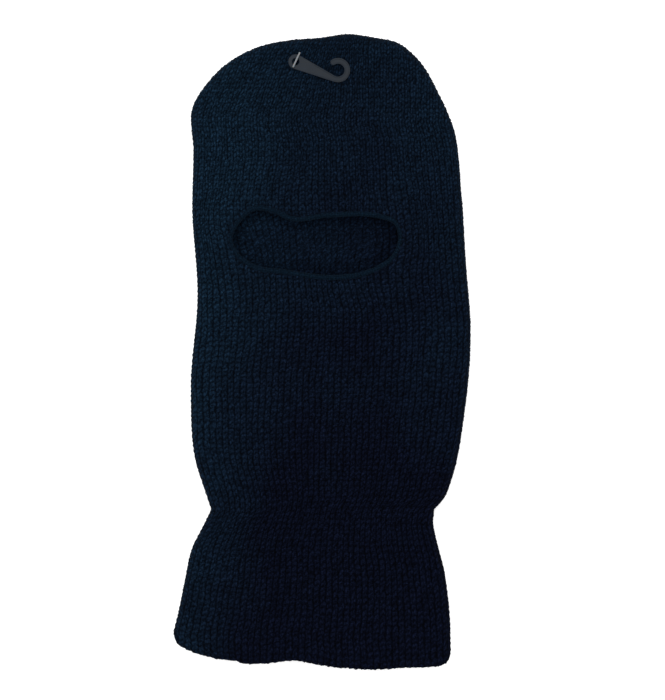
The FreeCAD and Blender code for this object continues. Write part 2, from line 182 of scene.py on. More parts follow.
class Finishes(bpy.types.PropertyGroup):
    """Colours of the yarns and plastics"""

    navy: colour("Navy", "060a18", "Acrylic yarn of the knit, over most of the piece")
    # painted light: this lighter, bluer copy of the yarn is mixed in where the crown, the left
    # side and both edges catch more light, and in random patches
    teal_lit_and_mottled: colour("Blue cast", "0c1c2a", "The same yarn towards the crown and the left side")
    band: colour("Band", "071420", "Yarn of the eye band")
    thread: colour("Thread", "080d17", "Sewing thread of the seams")
    hook: colour("Hook", "171e26", "Moulded hook")
    pin: colour("Pin", "6a6f73", "Nylon of the tag pin")


class StageSizes(bpy.types.PropertyGroup):
    """Camera, floor and lights"""

    frame_height: length("Frame height", 448, "Height of the table that the camera takes in")
    lens: bpy.props.FloatProperty(
        name="Lens", description="Focal length in millimetres", default=200)
    middle_x: length("Middle, X", 7.1, "The point that the camera looks down on")
    middle_y: length("Middle, Y", 1.0, "The point that the camera looks down on")
    sky: bpy.props.FloatProperty(
        name="Sky", description="Strength of the even light", default=0.85, min=0)
    lamp: bpy.props.FloatProperty(
        name="Lamp", description="Power of the large lamp above the crown", default=20,
        min=0, unit="POWER")


# ------------------------------------------------------------------ lines and outlines
SPAN = 120  # points on a curve from one of its given points to the next


def smooth(points, closed=False):
    """A curve through the points, with its slope at each taken from the two spans it joins."""
    if closed:
        held = np.vstack([points[-1:], points, points[:2]])
    else:
        held = np.vstack([2 * points[0] - points[1], points, 2 * points[-1] - points[-2]])
    gap = np.linalg.norm(np.diff(held, axis=0), axis=1)[:, None]
    run = np.diff(held, axis=0) / gap
    slope = (run[:-1] * gap[1:] + run[1:] * gap[:-1]) / (gap[1:] + gap[:-1])
    t = np.linspace(0, 1, SPAN, endpoint=False)[:, None]
    spans = []
    for i in range(len(slope) - 1):
        a, b, g = held[i + 1], held[i + 2], gap[i + 1]
        spans.append(
            (2 * t**3 - 3 * t**2 + 1) * a + (t**3 - 2 * t**2 + t) * g * slope[i]
            + (3 * t**2 - 2 * t**3) * b + (t**3 - t**2) * g * slope[i + 1]
        )
    if not closed:
        spans.append(held[-2:-1])
    return np.vstack(spans)


def spaced(line, step, closed=False):
    """The line again, with even spacing near step, and how far along it each point is."""
    if closed:
        line = np.vstack([line, line[:1]])
    along = np.append(0, np.cumsum(np.linalg.norm(np.diff(line, axis=0), axis=1)))
    count = max(3, round(along[-1] / step))
    at = np.linspace(0, along[-1], count + 1)
    if closed:
        at = at[:-1]
    return np.stack([np.interp(at, along, line[:, k]) for k in range(2)], axis=1), at


def right_hand(line, closed=False):
    """Unit normals to the right of the way along a line, which is outside where it turns left."""
    if closed:
        step = np.roll(line, -1, axis=0) - np.roll(line, 1, axis=0)
    else:
        step = np.gradient(line, axis=0)
    step /= np.linalg.norm(step, axis=1)[:, None]
    return np.stack([step[:, 1], -step[:, 0]], axis=1)


def ease(value, start, end):
    """0 before start and 1 after end, with a soft passage between them."""
    t = np.clip((value - start) / (end - start), 0, 1)
    return t * t * (3 - 2 * t)


def bump(x, y, middle_x, middle_y, reach_x, reach_y):
    """A soft hill of height 1 at its middle, places and reaches in millimetres."""
    return np.exp(-((x / MM - middle_x) / reach_x) ** 2 - ((y / MM - middle_y) / reach_y) ** 2)


class Outline:
    """A smooth outline that finds how far inside it a point lies."""

    def __init__(self, points, closed=False):
        self.line = smooth(points, closed)
        self.normal = right_hand(self.line, closed)
        self.tree = KDTree(len(self.line))
        for i, (x, y) in enumerate(self.line):
            self.tree.insert((x, y, 0), i)
        self.tree.balance()

    def nearest(self, x, y):
        """The nearest points of the outline and its outward normals there."""
        found = [self.tree.find((a, b, 0))[1] for a, b in zip(x.ravel(), y.ravel())]
        return (self.line[found].reshape(*x.shape, 2), self.normal[found].reshape(*x.shape, 2))

    def depth(self, x, y):
        """How far inside the outline each point lies, and the outward normal beside it."""
        near, out = self.nearest(x, y)
        return ((near - np.stack([x, y], axis=-1)) * out).sum(-1), out


HOOD_LINE = Outline(HOOD)
EYE_LINE = Outline(EYE, closed=True)
RIGHT_EDGE = np.vstack([smooth(NECK_RIGHT), HOOD_LINE.line[:SPAN * RIGHT_SHOULDER]])
LEFT_EDGE = np.vstack([smooth(NECK_LEFT), HOOD_LINE.line[SPAN * LEFT_SHOULDER:][::-1]])
LEFT_EDGE = LEFT_EDGE[np.argsort(LEFT_EDGE[:, 1])]
RIGHT_EDGE = RIGHT_EDGE[np.argsort(RIGHT_EDGE[:, 1])]
MOUTH_LINE = smooth(MOUTH)


def left_at(y):
    """Where the left edge is at a height on the table."""
    return np.interp(y, LEFT_EDGE[:, 1], LEFT_EDGE[:, 0])


def right_at(y):
    """Where the right edge is at a height on the table."""
    return np.interp(y, RIGHT_EDGE[:, 1], RIGHT_EDGE[:, 0])


def mouth_at(x):
    """Where the mouth's edge is at a place across the neck."""
    return np.interp(x, MOUTH_LINE[:, 0], MOUTH_LINE[:, 1])


# ------------------------------------------------------------------ the cloth as a grid
def across(share, left, right, fold):
    """Where a share of the knit's width lies as it goes round both side folds.

    Gives x, the rise from the fold (0) to the top (1), and the sideways part of the normal.
    """
    quarter = math.pi / 2 * math.sqrt((fold**2 + MIDDLE**2) / 2)
    width = right - left
    whole = width - 2 * fold + 2 * quarter
    at = share * whole
    near_left = np.clip(at / quarter, 0, 1) * math.pi / 2
    near_right = np.clip((whole - at) / quarter, 0, 1) * math.pi / 2
    x = left + fold + np.clip(at, quarter, whole - quarter) - quarter
    x += fold * (np.cos(near_right) - np.cos(near_left))
    return x, np.minimum(np.sin(near_left), np.sin(near_right)), (
        np.cos(near_right) - np.cos(near_left))


def unit(vectors):
    """The same directions at length 1."""
    return vectors / np.maximum(np.linalg.norm(vectors, axis=-1, keepdims=True), 1e-12)


def columns(ribs, places):
    """The grid's columns, counted in ribs, with the same places in every rib."""
    return np.append((np.arange(ribs)[:, None] + np.array(places)).ravel(), ribs)


LEAN_START = 148 * MM
LEAN_SLOPE = 0.38
LEAN_EASE = 10 * MM
# Where the eye opening pulls the ribs: by how far, then the middle and the reach of the pull.
PULLS = ((-5, 25, 47, 30, 20), (-5, -40, 94, 30, 20), (-4, -63, 72, 13, 30),
         (3.5, 56, 72, 13, 30))


def strays(x, y, rise):
    """How the ribs leave their straight lines: the lean of the crown and the pull of the eye."""
    share = (x - left_at(y)) / (right_at(y) - left_at(y))
    above = np.maximum(y - LEAN_START, 0)
    lean = LEAN_SLOPE * (1 - ease(share, 0.3, 0.72)) * above**2 / (above + LEAN_EASE)
    pull = sum(far * bump(x, y, *hill) for far, *hill in PULLS)
    return lean + pull * MM * rise


EASING = 20  # courses
CROWN_START = 130 * MM
CROWN_FULL = 156 * MM
NEAR_CROWN = 128 * MM
BAND_REACH = (-4, 70, 80, 40)  # middle and reach of the knit that the eye opening may touch


def hood_cloth(knit, places, rows):
    """The hood's side as a grid, from the waist up to above the crown."""
    top = HOOD[:, 1].max() + 2 * MM
    wale = columns(knit.ribs, places)
    count = math.ceil((top - WAIST) / knit.course) * rows
    course = np.arange(count + 1) / rows
    # the rows close up over the first courses above the waist
    eased = (knit.neck_course - knit.course) * EASING
    height = WAIST + course * knit.course + eased * (1 - np.exp(-course / EASING))
    course = course[height < top]
    wale, course = np.meshgrid(wale, course)
    y = np.broadcast_to(height[height < top, None], wale.shape)
    x, rise, side = across(wale / knit.ribs, left_at(y), right_at(y), knit.side_fold)
    x = x + strays(x, y, rise)
    crown = ease(y, CROWN_START, CROWN_FULL)
    depth = np.full(x.shape, 1.0)
    out = np.zeros((*x.shape, 2))
    high = y > NEAR_CROWN
    depth[high], out[high] = HOOD_LINE.depth(x[high], y[high])
    away = np.clip(1 - depth / knit.crown_fold, 0, 1)
    rise = (1 - crown) * rise + crown * np.sqrt(1 - away**2)
    level = (away * crown / knit.crown_fold)[..., None] * out
    level[..., 0] += (1 - crown) * side / knit.side_fold
    outward = unit(np.dstack([level, rise / MIDDLE]))
    z = MIDDLE + MIDDLE * rise
    keep = cells_inside(depth > -0.25 * MM)
    near_eye = bump(x, y, *BAND_REACH) > 0.1
    clear = np.full(x.shape, True)
    eye_depth, _ = EYE_LINE.depth(x[near_eye], y[near_eye])
    clear[near_eye] = eye_depth < 0
    return dict(place=np.dstack([x, y, z]), outward=outward, wale=wale, course=course,
                slack=rise**2, relief=0.5 + 0.5 * rise, crown=crown, depth=depth, keep=keep,
                clear=cells_inside(clear))


def neck_cloth(knit, places, rows):
    """The neck's side as a grid, from the hem's upper edge up to the waist."""
    wale = columns(knit.ribs, places)
    share = wale / knit.ribs
    end_x, _, _ = across(share, MOUTH[0, 0], MOUTH[-1, 0], knit.side_fold)
    low = mouth_at(end_x) + knit.hem
    courses = round((WAIST - low.mean()) / knit.neck_course)
    part = np.linspace(1, 0, courses * rows + 1)[:, None]
    y = WAIST + part * (low - WAIST)
    share = np.broadcast_to(share, y.shape)
    x, rise, side = across(share, left_at(y), right_at(y), knit.side_fold)
    outward = unit(np.dstack([side / knit.side_fold, 0 * side, rise / MIDDLE]))
    return dict(place=np.dstack([x, y, MIDDLE + MIDDLE * rise]), outward=outward,
                wale=np.broadcast_to(wale, y.shape),
                course=np.broadcast_to(-part * courses, y.shape),
                slack=rise**2, relief=0.5 + 0.5 * rise,
                keep=np.full((y.shape[0] - 1, y.shape[1] - 1), True), courses=courses)


def cells_inside(corner):
    """Cells of the grid with all four corners marked, without any that touch only at a corner."""
    keep = corner[1:, 1:] & corner[:-1, 1:] & corner[1:, :-1] & corner[:-1, :-1]
    for _ in range(6):
        a, b, c, d = keep[:-1, :-1], keep[:-1, 1:], keep[1:, :-1], keep[1:, 1:]
        rising, falling = a & d & ~b & ~c, b & c & ~a & ~d
        if not (rising.any() or falling.any()):
            break
        keep[:-1, :-1][rising] = False
        keep[:-1, 1:][falling] = False
    return keep


def edge_loops(faces, count):
    """The open edges of a mesh as closed loops of its points, each with the faces on its left."""
    starts, ends = faces.ravel(), np.roll(faces, -1, axis=1).ravel()
    alone = ~np.isin(starts * count + ends, ends * count + starts)
    after = dict(zip(starts[alone].tolist(), ends[alone].tolist()))
    loops = []
    while after:
        loop = [next(iter(after))]
        while loop[-1] in after:
            loop.append(after.pop(loop[-1]))
        loops.append(np.array(loop[:-1]))
    return sorted(loops, key=len, reverse=True)


def grid_faces(keep):
    """The kept cells of a grid as faces that look up."""
    number = np.arange((keep.shape[0] + 1) * (keep.shape[1] + 1))
    number = number.reshape(keep.shape[0] + 1, keep.shape[1] + 1)
    return np.stack([number[:-1, :-1], number[:-1, 1:], number[1:, 1:], number[1:, :-1]],
                    axis=-1)[keep]


EDGE_REACH = 3  # points on each side that an edge point is evened out with


def settled(outline, place, closed):
    """Spreads a run of edge points along the outline in order. Gives places and normals there."""
    whole = len(outline.line)
    found = np.array([outline.tree.find((x, y, 0))[1] for x, y in place], float)
    step = np.diff(found, append=found[:1])
    if closed:
        step = (step + whole / 2) % whole - whole / 2
    run = found[0] + np.append(0, np.cumsum(step[:-1]))
    run = np.sort(run) if run[-1] > run[0] else np.sort(run)[::-1]
    if closed:
        turn = whole * np.sign(run[-1] - run[0])
        padded = np.concatenate([run[-EDGE_REACH:] - turn, run, run[:EDGE_REACH] + turn])
    else:
        padded = np.pad(run, EDGE_REACH, mode="edge")
    near = 2 * EDGE_REACH + 1
    run = np.convolve(padded, np.ones(near) / near, mode="valid") % whole
    low = run.astype(int)
    high, part = (low + 1) % whole, (run % 1)[:, None]
    at = outline.line[low] * (1 - part) + outline.line[high] * part
    return at, unit(outline.normal[low] * (1 - part) + outline.normal[high] * part)


def snap_to_crown(cloth):
    """Moves the stepped edge of the kept cells onto the crown's outline."""
    place, outward = cloth["place"].reshape(-1, 3), cloth["outward"].reshape(-1, 3)
    loop = edge_loops(grid_faces(cloth["keep"]), len(place))[0]
    high = cloth["crown"].ravel()[loop] > 0
    start = np.flatnonzero(high & ~np.roll(high, 1))[0]
    run = np.roll(loop, -start)[:high.sum()]
    at, out = settled(HOOD_LINE, place[run, :2], closed=False)
    place[run] = np.column_stack([at, np.full(len(at), MIDDLE)])
    outward[run] = np.column_stack([out, np.zeros(len(out))])
    cloth["relief"].ravel()[run] = 0.5


def snap_to_eye(cloth):
    """Moves the stepped edge round the opening onto the middle of the band."""
    place = cloth["place"].reshape(-1, 3)
    loop = edge_loops(grid_faces(cloth["keep"]), len(place))[1]
    place[loop, :2] = settled(EYE_LINE, place[loop, :2], closed=True)[0]


def turned_over(cloth):
    """The same cloth on the side that lies on the table."""
    place, outward = cloth["place"].copy(), cloth["outward"].copy()
    place[..., 2] = LOFT - place[..., 2]
    outward[..., 2] *= -1
    return {**cloth, "place": place, "outward": outward}


def put_attributes(mesh, **values):
    """Stores a value for each point of the mesh, a number or a vector."""
    for name, value in values.items():
        value = np.asarray(value, np.float32)
        kind, field = ("FLOAT", "value") if value.ndim == 1 else ("FLOAT_VECTOR", "vector")
        attribute = mesh.attributes.new(name, kind, "POINT")
        attribute.data.foreach_set(field, value.ravel())


def linked(name, mesh):
    """A new object for the mesh, in the scene."""
    made = bpy.data.objects.new(name, mesh)
    bpy.context.scene.collection.objects.link(made)
    return made


def wall(name, cloth, under, turn_in, facing=1):
    """A closed wall of cloth: the knitted face, a rim turned in at its edges and a flat lining.

    facing is 1 where the face looks up and -1 where it looks down.
    """
    quads = grid_faces(cloth["keep"])
    if facing < 0:
        quads = quads[:, ::-1]
    used, quads = np.unique(quads, return_inverse=True)
    quads = quads.reshape(-1, 4)
    count = len(used)
    flat = {key: np.asarray(cloth[key]).reshape(cloth["wale"].size, -1)[used]
            for key in ("place", "outward", "wale", "course", "slack", "relief")}
    loops = edge_loops(quads, count)
    rim = np.concatenate(loops)
    place, outward = flat["place"], flat["outward"]
    level = outward[rim] * (1, 1, 0)
    first = place[rim] - 0.5 * turn_in * level
    first[:, 2] += 0.2 * (under - first[:, 2])
    second = place[rim] - turn_in * level
    second[:, 2] = under
    mesh = bpy.data.meshes.new(name)
    mesh.from_pydata(np.vstack([place, first, second]), [], quads.tolist(), shade_flat=False)
    shape = bmesh.new()
    shape.from_mesh(mesh)
    shape.verts.ensure_lookup_table()
    lining, start = [], 0
    for loop in loops:
        upper = np.arange(len(loop)) + count + start
        lower = upper + len(rim)
        start += len(loop)
        for high, low in ((loop, upper), (upper, lower)):
            for i in range(-1, len(loop) - 1):
                face = [high[i + 1], high[i], low[i], low[i + 1]]
                shape.faces.new([shape.verts[k] for k in face]).smooth = True
        for i in range(-1, len(loop) - 1):
            shape.edges.get([shape.verts[k] for k in loop[[i, i + 1]]]).smooth = False
            lining.append(shape.edges.get([shape.verts[k] for k in lower[[i, i + 1]]]))
    fill(shape, lining, -facing)
    shape.to_mesh(mesh)
    shape.free()
    values = {key: np.concatenate([flat[key], flat[key][rim], flat[key][rim]])
              for key in ("outward", "wale", "course", "slack", "relief")}
    values["relief"][count:] = 0
    put_attributes(mesh, outward=values.pop("outward"),
                   **{key: value.ravel() for key, value in values.items()})
    return linked(name, mesh)


def fill(shape, edges, side):
    """Closes level loops of edges with faces that look up (1) or down (-1)."""
    for face in bmesh.ops.triangle_fill(shape, use_beauty=True, edges=edges)["geom"]:
        if isinstance(face, bmesh.types.BMFace):
            face.normal_update()
            face.smooth = False
            if face.normal.z * side < 0:
                face.normal_flip()
    if any(not edge.is_manifold for edge in edges):
        raise RuntimeError("a loop of edges could not be closed")


def rolled(name, place, outward, wale, course, slack, relief, closed_long):
    """A mesh on a grid of points that is closed round its section, and lengthwise or by ends."""
    n, m = place.shape[:2]
    number = np.arange(n * m).reshape(n, m)
    after = np.roll(number, -1, axis=0)
    if not closed_long:
        number, after = number[:-1], after[:-1]
    side, side_after = np.roll(number, -1, axis=1), np.roll(after, -1, axis=1)
    faces = np.stack([number, side, side_after, after], axis=-1).reshape(-1, 4).tolist()
    if not closed_long:
        faces += [list(range(m))[::-1], list(range((n - 1) * m, n * m))]
    mesh = bpy.data.meshes.new(name)
    mesh.from_pydata(place.reshape(-1, 3), [], faces, shade_flat=False)
    put_attributes(mesh, wale=wale.ravel(), course=course.ravel(), slack=slack.ravel(),
                   outward=outward.reshape(-1, 3), relief=relief.ravel())
    return linked(name, mesh)


BAND_STEP = 0.55 * MM
STRAND_POINTS = 6  # points round the band for each strand


def band(name, path, closed, half_width, middle, half_height, course, strands):
    """A soft band with an oval section along a level path, its strands counted round it."""
    line, along = spaced(path, BAND_STEP, closed)
    normal = right_hand(line, closed)
    tall = np.array(half_width(line, normal))[:, None, None]
    turn = np.linspace(0, 2 * math.pi, STRAND_POINTS * strands, endpoint=False)
    flat = np.dstack([normal[:, 0], normal[:, 1], 0 * normal[:, 0]])[0][:, None, :]
    sideways = np.cos(turn)[None, :, None]
    upward = np.sin(turn)[None, :, None]
    middle_line = np.column_stack([line, np.full(len(line), middle)])[:, None, :]
    place = middle_line + flat * sideways * tall + UP * upward * half_height
    outward = unit(flat * sideways / tall + UP * upward / half_height)
    whole = along[-1] + (along[1] if closed else 0)
    courses = round(whole / course)
    wale = np.broadcast_to(turn / (2 * math.pi) * strands, place.shape[:2])
    rows = np.broadcast_to((along / whole * courses)[:, None], place.shape[:2])
    ones = np.ones(place.shape[:2])
    return rolled(name, place, outward, wale, rows, ones, ones, closed)


# ------------------------------------------------------------------ node trees
def node(tree, kind, inputs=(), **settings):
    """Adds a node with its settings. An input is a value, a socket, or a node's first output."""
    made = tree.nodes.new(kind)
    for name, value in settings.items():
        setattr(made, name, value)
    for name, value in dict(inputs).items():
        if isinstance(value, bpy.types.Node):
            value = value.outputs[0]
        if isinstance(value, bpy.types.NodeSocket):
            tree.links.new(value, made.inputs[name])
        else:
            made.inputs[name].default_value = value
    return made


def new_tree(name, sockets):
    """An empty Geometry Nodes tree with named inputs, and its input and output nodes."""
    tree = bpy.data.node_groups.new(name, "GeometryNodeTree")
    tree.interface.new_socket("Geometry", in_out="OUTPUT", socket_type="NodeSocketGeometry")
    tree.interface.new_socket("Geometry", in_out="INPUT", socket_type="NodeSocketGeometry")
    for label, kind, default in sockets:
        socket = tree.interface.new_socket(label, in_out="INPUT", socket_type=kind)
        if default is not None:
            socket.default_value = default
    return tree, node(tree, "NodeGroupInput").outputs


# Counted in courses up from the waist: below the first the ribs lie closed, above the other open.
EYE_COURSE = 36.0
CROWN_COURSE = 78.0
BEYOND = 10.0  # metres, further out than any point of the cloth
TABLE_AIR = 0.05 * MM


def slanted_row(tree, wale, course, slant):
    """The course count of a stitch whose two legs slant away from the middle of its rib."""
    part = node(tree, "ShaderNodeMath", {0: wale}, operation="FRACT")
    doubled = node(tree, "ShaderNodeMath", {0: part, 1: 2.0, 2: -1.0},
                   operation="MULTIPLY_ADD")
    leg = node(tree, "ShaderNodeMath", {0: doubled}, operation="ABSOLUTE")
    return node(tree, "ShaderNodeMath", {0: leg, 1: slant, 2: course},
                operation="MULTIPLY_ADD")


def knit_tree():
    """Raises ribs and slanted stitches out of smooth cloth, from its wale and course counts.

    Every rib is two columns of stitches with a shallow groove between them. What each point is
    raised to, and a chance number for each stitch, are kept as attributes for the material.
    """
    tree, given = new_tree("Knit relief", [
        ("Rib Depth", "NodeSocketFloat", 0.001),
        ("Centre Groove", "NodeSocketFloat", 0.55),
        ("Lower Groove", "NodeSocketFloat", 0.55),
        ("Stitch Height", "NodeSocketFloat", 0.0004),
        ("Slant", "NodeSocketFloat", 0.4),
        ("Fuzz", "NodeSocketFloat", 0.0001),
        ("Wave", "NodeSocketFloat", 0.0),
        ("Wander", "NodeSocketFloat", 0.0),
        ("Jitter", "NodeSocketFloat", 0.0),
        ("Wobble", "NodeSocketFloat", 0.0),
        ("Seed", "NodeSocketFloat", 0.0),
        ("Material", "NodeSocketMaterial", None),
    ])
    wale, course, slack, relief = (
        node(tree, "GeometryNodeInputNamedAttribute", {"Name": name}, data_type="FLOAT")
        for name in ("wale", "course", "slack", "relief"))
    outward = node(tree, "GeometryNodeInputNamedAttribute", {"Name": "outward"},
                   data_type="FLOAT_VECTOR")
    place = node(tree, "GeometryNodeInputPosition")
    # what is uneven: valleys, rows, single fibres, the cloth's height and the ribs' lines
    unsteady, uneven, grain, slow, drift = (
        node(tree, "ShaderNodeTexNoise",
             {"Vector": place, "W": given["Seed"], "Scale": scale, "Detail": detail},
             noise_dimensions="4D")
        for scale, detail in ((240.0, 1.0), (150.0, 2.0), (900.0, 2.0), (16.0, 1.5),
                              (42.0, 2.5)))
    # the section of a rib: 0 in the valley, 1 on both columns, lower between them
    wobbly = node(tree, "ShaderNodeMath", {0: unsteady, 1: given["Wobble"], 2: wale},
                  operation="MULTIPLY_ADD")
    turn = node(tree, "ShaderNodeMath", {0: wobbly, 1: 2 * math.pi}, operation="MULTIPLY")
    sections = []
    for crests in (1.0, 2.0):
        swing = node(tree, "ShaderNodeMath", {0: turn, 1: crests}, operation="MULTIPLY")
        wave = node(tree, "ShaderNodeMath", {0: swing}, operation="COSINE")
        sections.append(node(tree, "ShaderNodeMath", {0: wave, 1: -0.5, 2: 0.5},
                             operation="MULTIPLY_ADD"))
    whole, paired = sections
    parted = node(tree, "ShaderNodeMapRange",
                  {"Value": course, "From Min": EYE_COURSE, "From Max": CROWN_COURSE,
                   "To Min": given["Lower Groove"], "To Max": given["Centre Groove"]},
                  interpolation_type="SMOOTHSTEP")
    mixed = node(tree, "ShaderNodeMix", {"Factor": parted, "A": whole, "B": paired},
                 data_type="FLOAT")
    rib = node(tree, "ShaderNodeMath", {0: mixed.outputs["Result"], 1: 1.2},
               operation="MULTIPLY", use_clamp=True)
    # rows of stitches
    slanted = slanted_row(tree, wale, course, given["Slant"])
    row = node(tree, "ShaderNodeMath", {0: uneven, 1: 1.6, 2: slanted},
               operation="MULTIPLY_ADD")
    angle = node(tree, "ShaderNodeMath", {0: row, 1: 2 * math.pi}, operation="MULTIPLY")
    loop = node(tree, "ShaderNodeMath", {0: angle}, operation="COSINE")
    # one chance number and one chance direction for every stitch
    column = node(tree, "ShaderNodeMath", {0: wale, 1: 2.0}, operation="MULTIPLY")
    column_number = node(tree, "ShaderNodeMath", {0: column}, operation="FLOOR")
    row_number = node(tree, "ShaderNodeMath", {0: row}, operation="ROUND")
    address = node(tree, "ShaderNodeCombineXYZ",
                   {0: column_number, 1: row_number, 2: given["Seed"]})
    chance = node(tree, "ShaderNodeTexWhiteNoise", {"Vector": address},
                  noise_dimensions="3D")
    strong = node(tree, "ShaderNodeMath", {0: chance, 1: 0.5}, operation="ADD")
    tall = node(tree, "ShaderNodeMath", {0: strong, 1: given["Stitch Height"]},
                operation="MULTIPLY")
    half_tall = node(tree, "ShaderNodeMath", {0: tall, 1: 0.5}, operation="MULTIPLY")
    looped = node(tree, "ShaderNodeMath", {0: loop, 1: half_tall}, operation="MULTIPLY")
    stitches = node(tree, "ShaderNodeMath", {0: looped, 1: rib}, operation="MULTIPLY")
    valley = node(tree, "ShaderNodeMath", {0: rib, 1: -1.0}, operation="ADD")
    ribs = node(tree, "ShaderNodeMath", {0: valley, 1: given["Rib Depth"], 2: stitches},
                operation="MULTIPLY_ADD")
    centred = node(tree, "ShaderNodeMath", {0: grain, 1: 0.5}, operation="SUBTRACT")
    height = node(tree, "ShaderNodeMath", {0: centred, 1: given["Fuzz"], 2: ribs},
                  operation="MULTIPLY_ADD")
    shown = node(tree, "ShaderNodeMath", {0: height, 1: relief}, operation="MULTIPLY")
    # the cloth's slow waves, along its normal
    about = node(tree, "ShaderNodeMath", {0: slow, 1: 0.5}, operation="SUBTRACT")
    total = node(tree, "ShaderNodeMath", {0: about, 1: given["Wave"], 2: shown},
                 operation="MULTIPLY_ADD")
    lifted = node(tree, "ShaderNodeVectorMath", {0: outward, "Scale": total},
                  operation="SCALE")
    # the ribs stray sideways, and every stitch a little on its own
    ways = []
    for source, far in ((drift, given["Wander"]), (chance, given["Jitter"])):
        aside = node(tree, "ShaderNodeVectorMath",
                     {0: source.outputs["Color"], 1: (0.5, 0.5, 0.5)},
                     operation="SUBTRACT")
        level = node(tree, "ShaderNodeVectorMath", {0: aside, 1: (1.0, 1.0, 0.0)},
                     operation="MULTIPLY")
        ways.append(node(tree, "ShaderNodeVectorMath", {0: level, "Scale": far},
                         operation="SCALE"))
    both = node(tree, "ShaderNodeVectorMath", {0: ways[0], 1: ways[1]}, operation="ADD")
    moved = node(tree, "ShaderNodeVectorMath", {0: both, "Scale": slack},
                 operation="SCALE")
    offset = node(tree, "ShaderNodeVectorMath", {0: lifted, 1: moved}, operation="ADD")
    # what the material reads
    beat = node(tree, "ShaderNodeMath", {0: loop, 1: 0.5, 2: 0.5},
                operation="MULTIPLY_ADD")
    exposed = node(tree, "ShaderNodeMath", {0: rib, 1: beat}, operation="MULTIPLY")
    marked = given["Geometry"]
    for name, value in (("rib", rib), ("loop", exposed), ("tone", chance)):
        marked = node(tree, "GeometryNodeStoreNamedAttribute",
                      {"Geometry": marked, "Name": name, "Value": value},
                      data_type="FLOAT", domain="POINT")
    placed = node(tree, "GeometryNodeSetPosition",
                  {"Geometry": marked, "Offset": offset})
    # yarn that would sink into the table is pressed flat on it
    landed = node(tree, "ShaderNodeVectorMath",
                  {0: place, 1: (-BEYOND, -BEYOND, TABLE_AIR)}, operation="MAXIMUM")
    pressed = node(tree, "GeometryNodeSetPosition",
                   {"Geometry": placed, "Position": landed})
    real = node(tree, "GeometryNodeRealizeInstances", {"Geometry": pressed})
    made = node(tree, "GeometryNodeSetMaterial",
                {"Geometry": real, "Material": given["Material"]})
    node(tree, "NodeGroupOutput", {"Geometry": made})
    return tree


def stitch_tree():
    """Lays short thread stitches along a line of edges."""
    tree, given = new_tree("Stitches along a line", [
        ("Spacing", "NodeSocketFloat", 0.003),
        ("Size", "NodeSocketVector", (0.0008, 0.0003, 0.0003)),
        ("Skew", "NodeSocketFloat", 0.35),
        ("Seed", "NodeSocketInt", 0),
        ("Material", "NodeSocketMaterial", None),
    ])
    line = node(tree, "GeometryNodeMeshToCurve", {"Mesh": given["Geometry"]})
    points = node(tree, "GeometryNodeResampleCurve",
                  {"Curve": line, "Length": given["Spacing"]}, mode="LENGTH")
    ball = node(tree, "GeometryNodeMeshUVSphere",
                {"Segments": 10, "Rings": 6, "Radius": 1.0})
    thread = node(tree, "GeometryNodeTransform",
                  {"Geometry": ball.outputs["Mesh"], "Scale": given["Size"]})
    soft = node(tree, "GeometryNodeSetShadeSmooth", {0: thread})
    tangent = node(tree, "GeometryNodeInputTangent")
    along = node(tree, "FunctionNodeAlignRotationToVector", {"Vector": tangent}, axis="X",
                 pivot_axis="Z")
    chance = node(tree, "FunctionNodeRandomValue", {"Seed": given["Seed"]},
                  data_type="FLOAT")
    half = node(tree, "ShaderNodeMath", {0: chance.outputs["Value"], 1: 0.5},
                operation="ADD")
    skew = node(tree, "ShaderNodeMath", {0: half, 1: given["Skew"]}, operation="MULTIPLY")
    turned = node(tree, "ShaderNodeCombineXYZ", {"Z": skew})
    rotation = node(tree, "FunctionNodeRotateRotation",
                    {"Rotation": along, "Rotate By": turned}, rotation_space="LOCAL")
    placed = node(tree, "GeometryNodeInstanceOnPoints",
                  {"Points": points, "Instance": soft, "Rotation": rotation})
    real = node(tree, "GeometryNodeRealizeInstances", {"Geometry": placed})
    made = node(tree, "GeometryNodeSetMaterial",
                {"Geometry": real, "Material": given["Material"]})
    node(tree, "NodeGroupOutput", {"Geometry": made})
    return tree


def grown(piece, tree, values):
    """Runs a tree on the piece and leaves the result as its plain mesh."""
    modifier = piece.modifiers.new(tree.name, "NODES")
    modifier.node_group = tree
    for item in tree.interface.items_tree:
        if item.in_out == "INPUT" and item.name in values:
            modifier[item.identifier] = values[item.name]
    depsgraph = bpy.context.evaluated_depsgraph_get()
    mesh = bpy.data.meshes.new_from_object(
        piece.evaluated_get(depsgraph), preserve_all_data_layers=True, depsgraph=depsgraph)
    piece.modifiers.clear()
    plain = piece.data
    piece.data = mesh
    mesh.name = piece.name
    bpy.data.meshes.remove(plain)
    return piece


def kept(kind, make):
    """The tree or material of that name, made the first time that it is asked for."""
    if kind not in kept.made:
        kept.made[kind] = make()
    return kept.made[kind]


kept.made = {}


# ------------------------------------------------------------------ materials
def new_material(name):
    """A material with its surface shader, and its tree without any other node."""
    material = bpy.data.materials.new(name)
    material.use_nodes = True
    tree = material.node_tree
    tree.nodes.clear()
    shader = node(tree, "ShaderNodeBsdfPrincipled")
    node(tree, "ShaderNodeOutputMaterial", {"Surface": shader})
    return material, tree, shader


def set_shader(shader, **values):
    """Sets what is the same all over the surface on the shader's own sockets."""
    for name, value in values.items():
        shader.inputs[name.replace("_", " ")].default_value = value


# Spun acrylic fibre: it hardly shines, and its hairs catch a trace of light from the side.
ACRYLIC = {"IOR": 1.46, "Specular_IOR_Level": 0.03, "Sheen_Weight": 0.006,
           "Sheen_Roughness": 0.5}


def dress(tree, shader, tint, shade, height, strength, depth):
    """Gives the surface its colour, made lighter or darker by shade, and its fine relief."""
    tinted = node(tree, "ShaderNodeVectorMath", {0: tint, "Scale": shade},
                  operation="SCALE")
    tree.links.new(tinted.outputs[0], shader.inputs["Base Color"])
    bumped = node(tree, "ShaderNodeBump",
                  {"Height": height, "Strength": strength, "Distance": depth})
    tree.links.new(bumped.outputs[0], shader.inputs["Normal"])


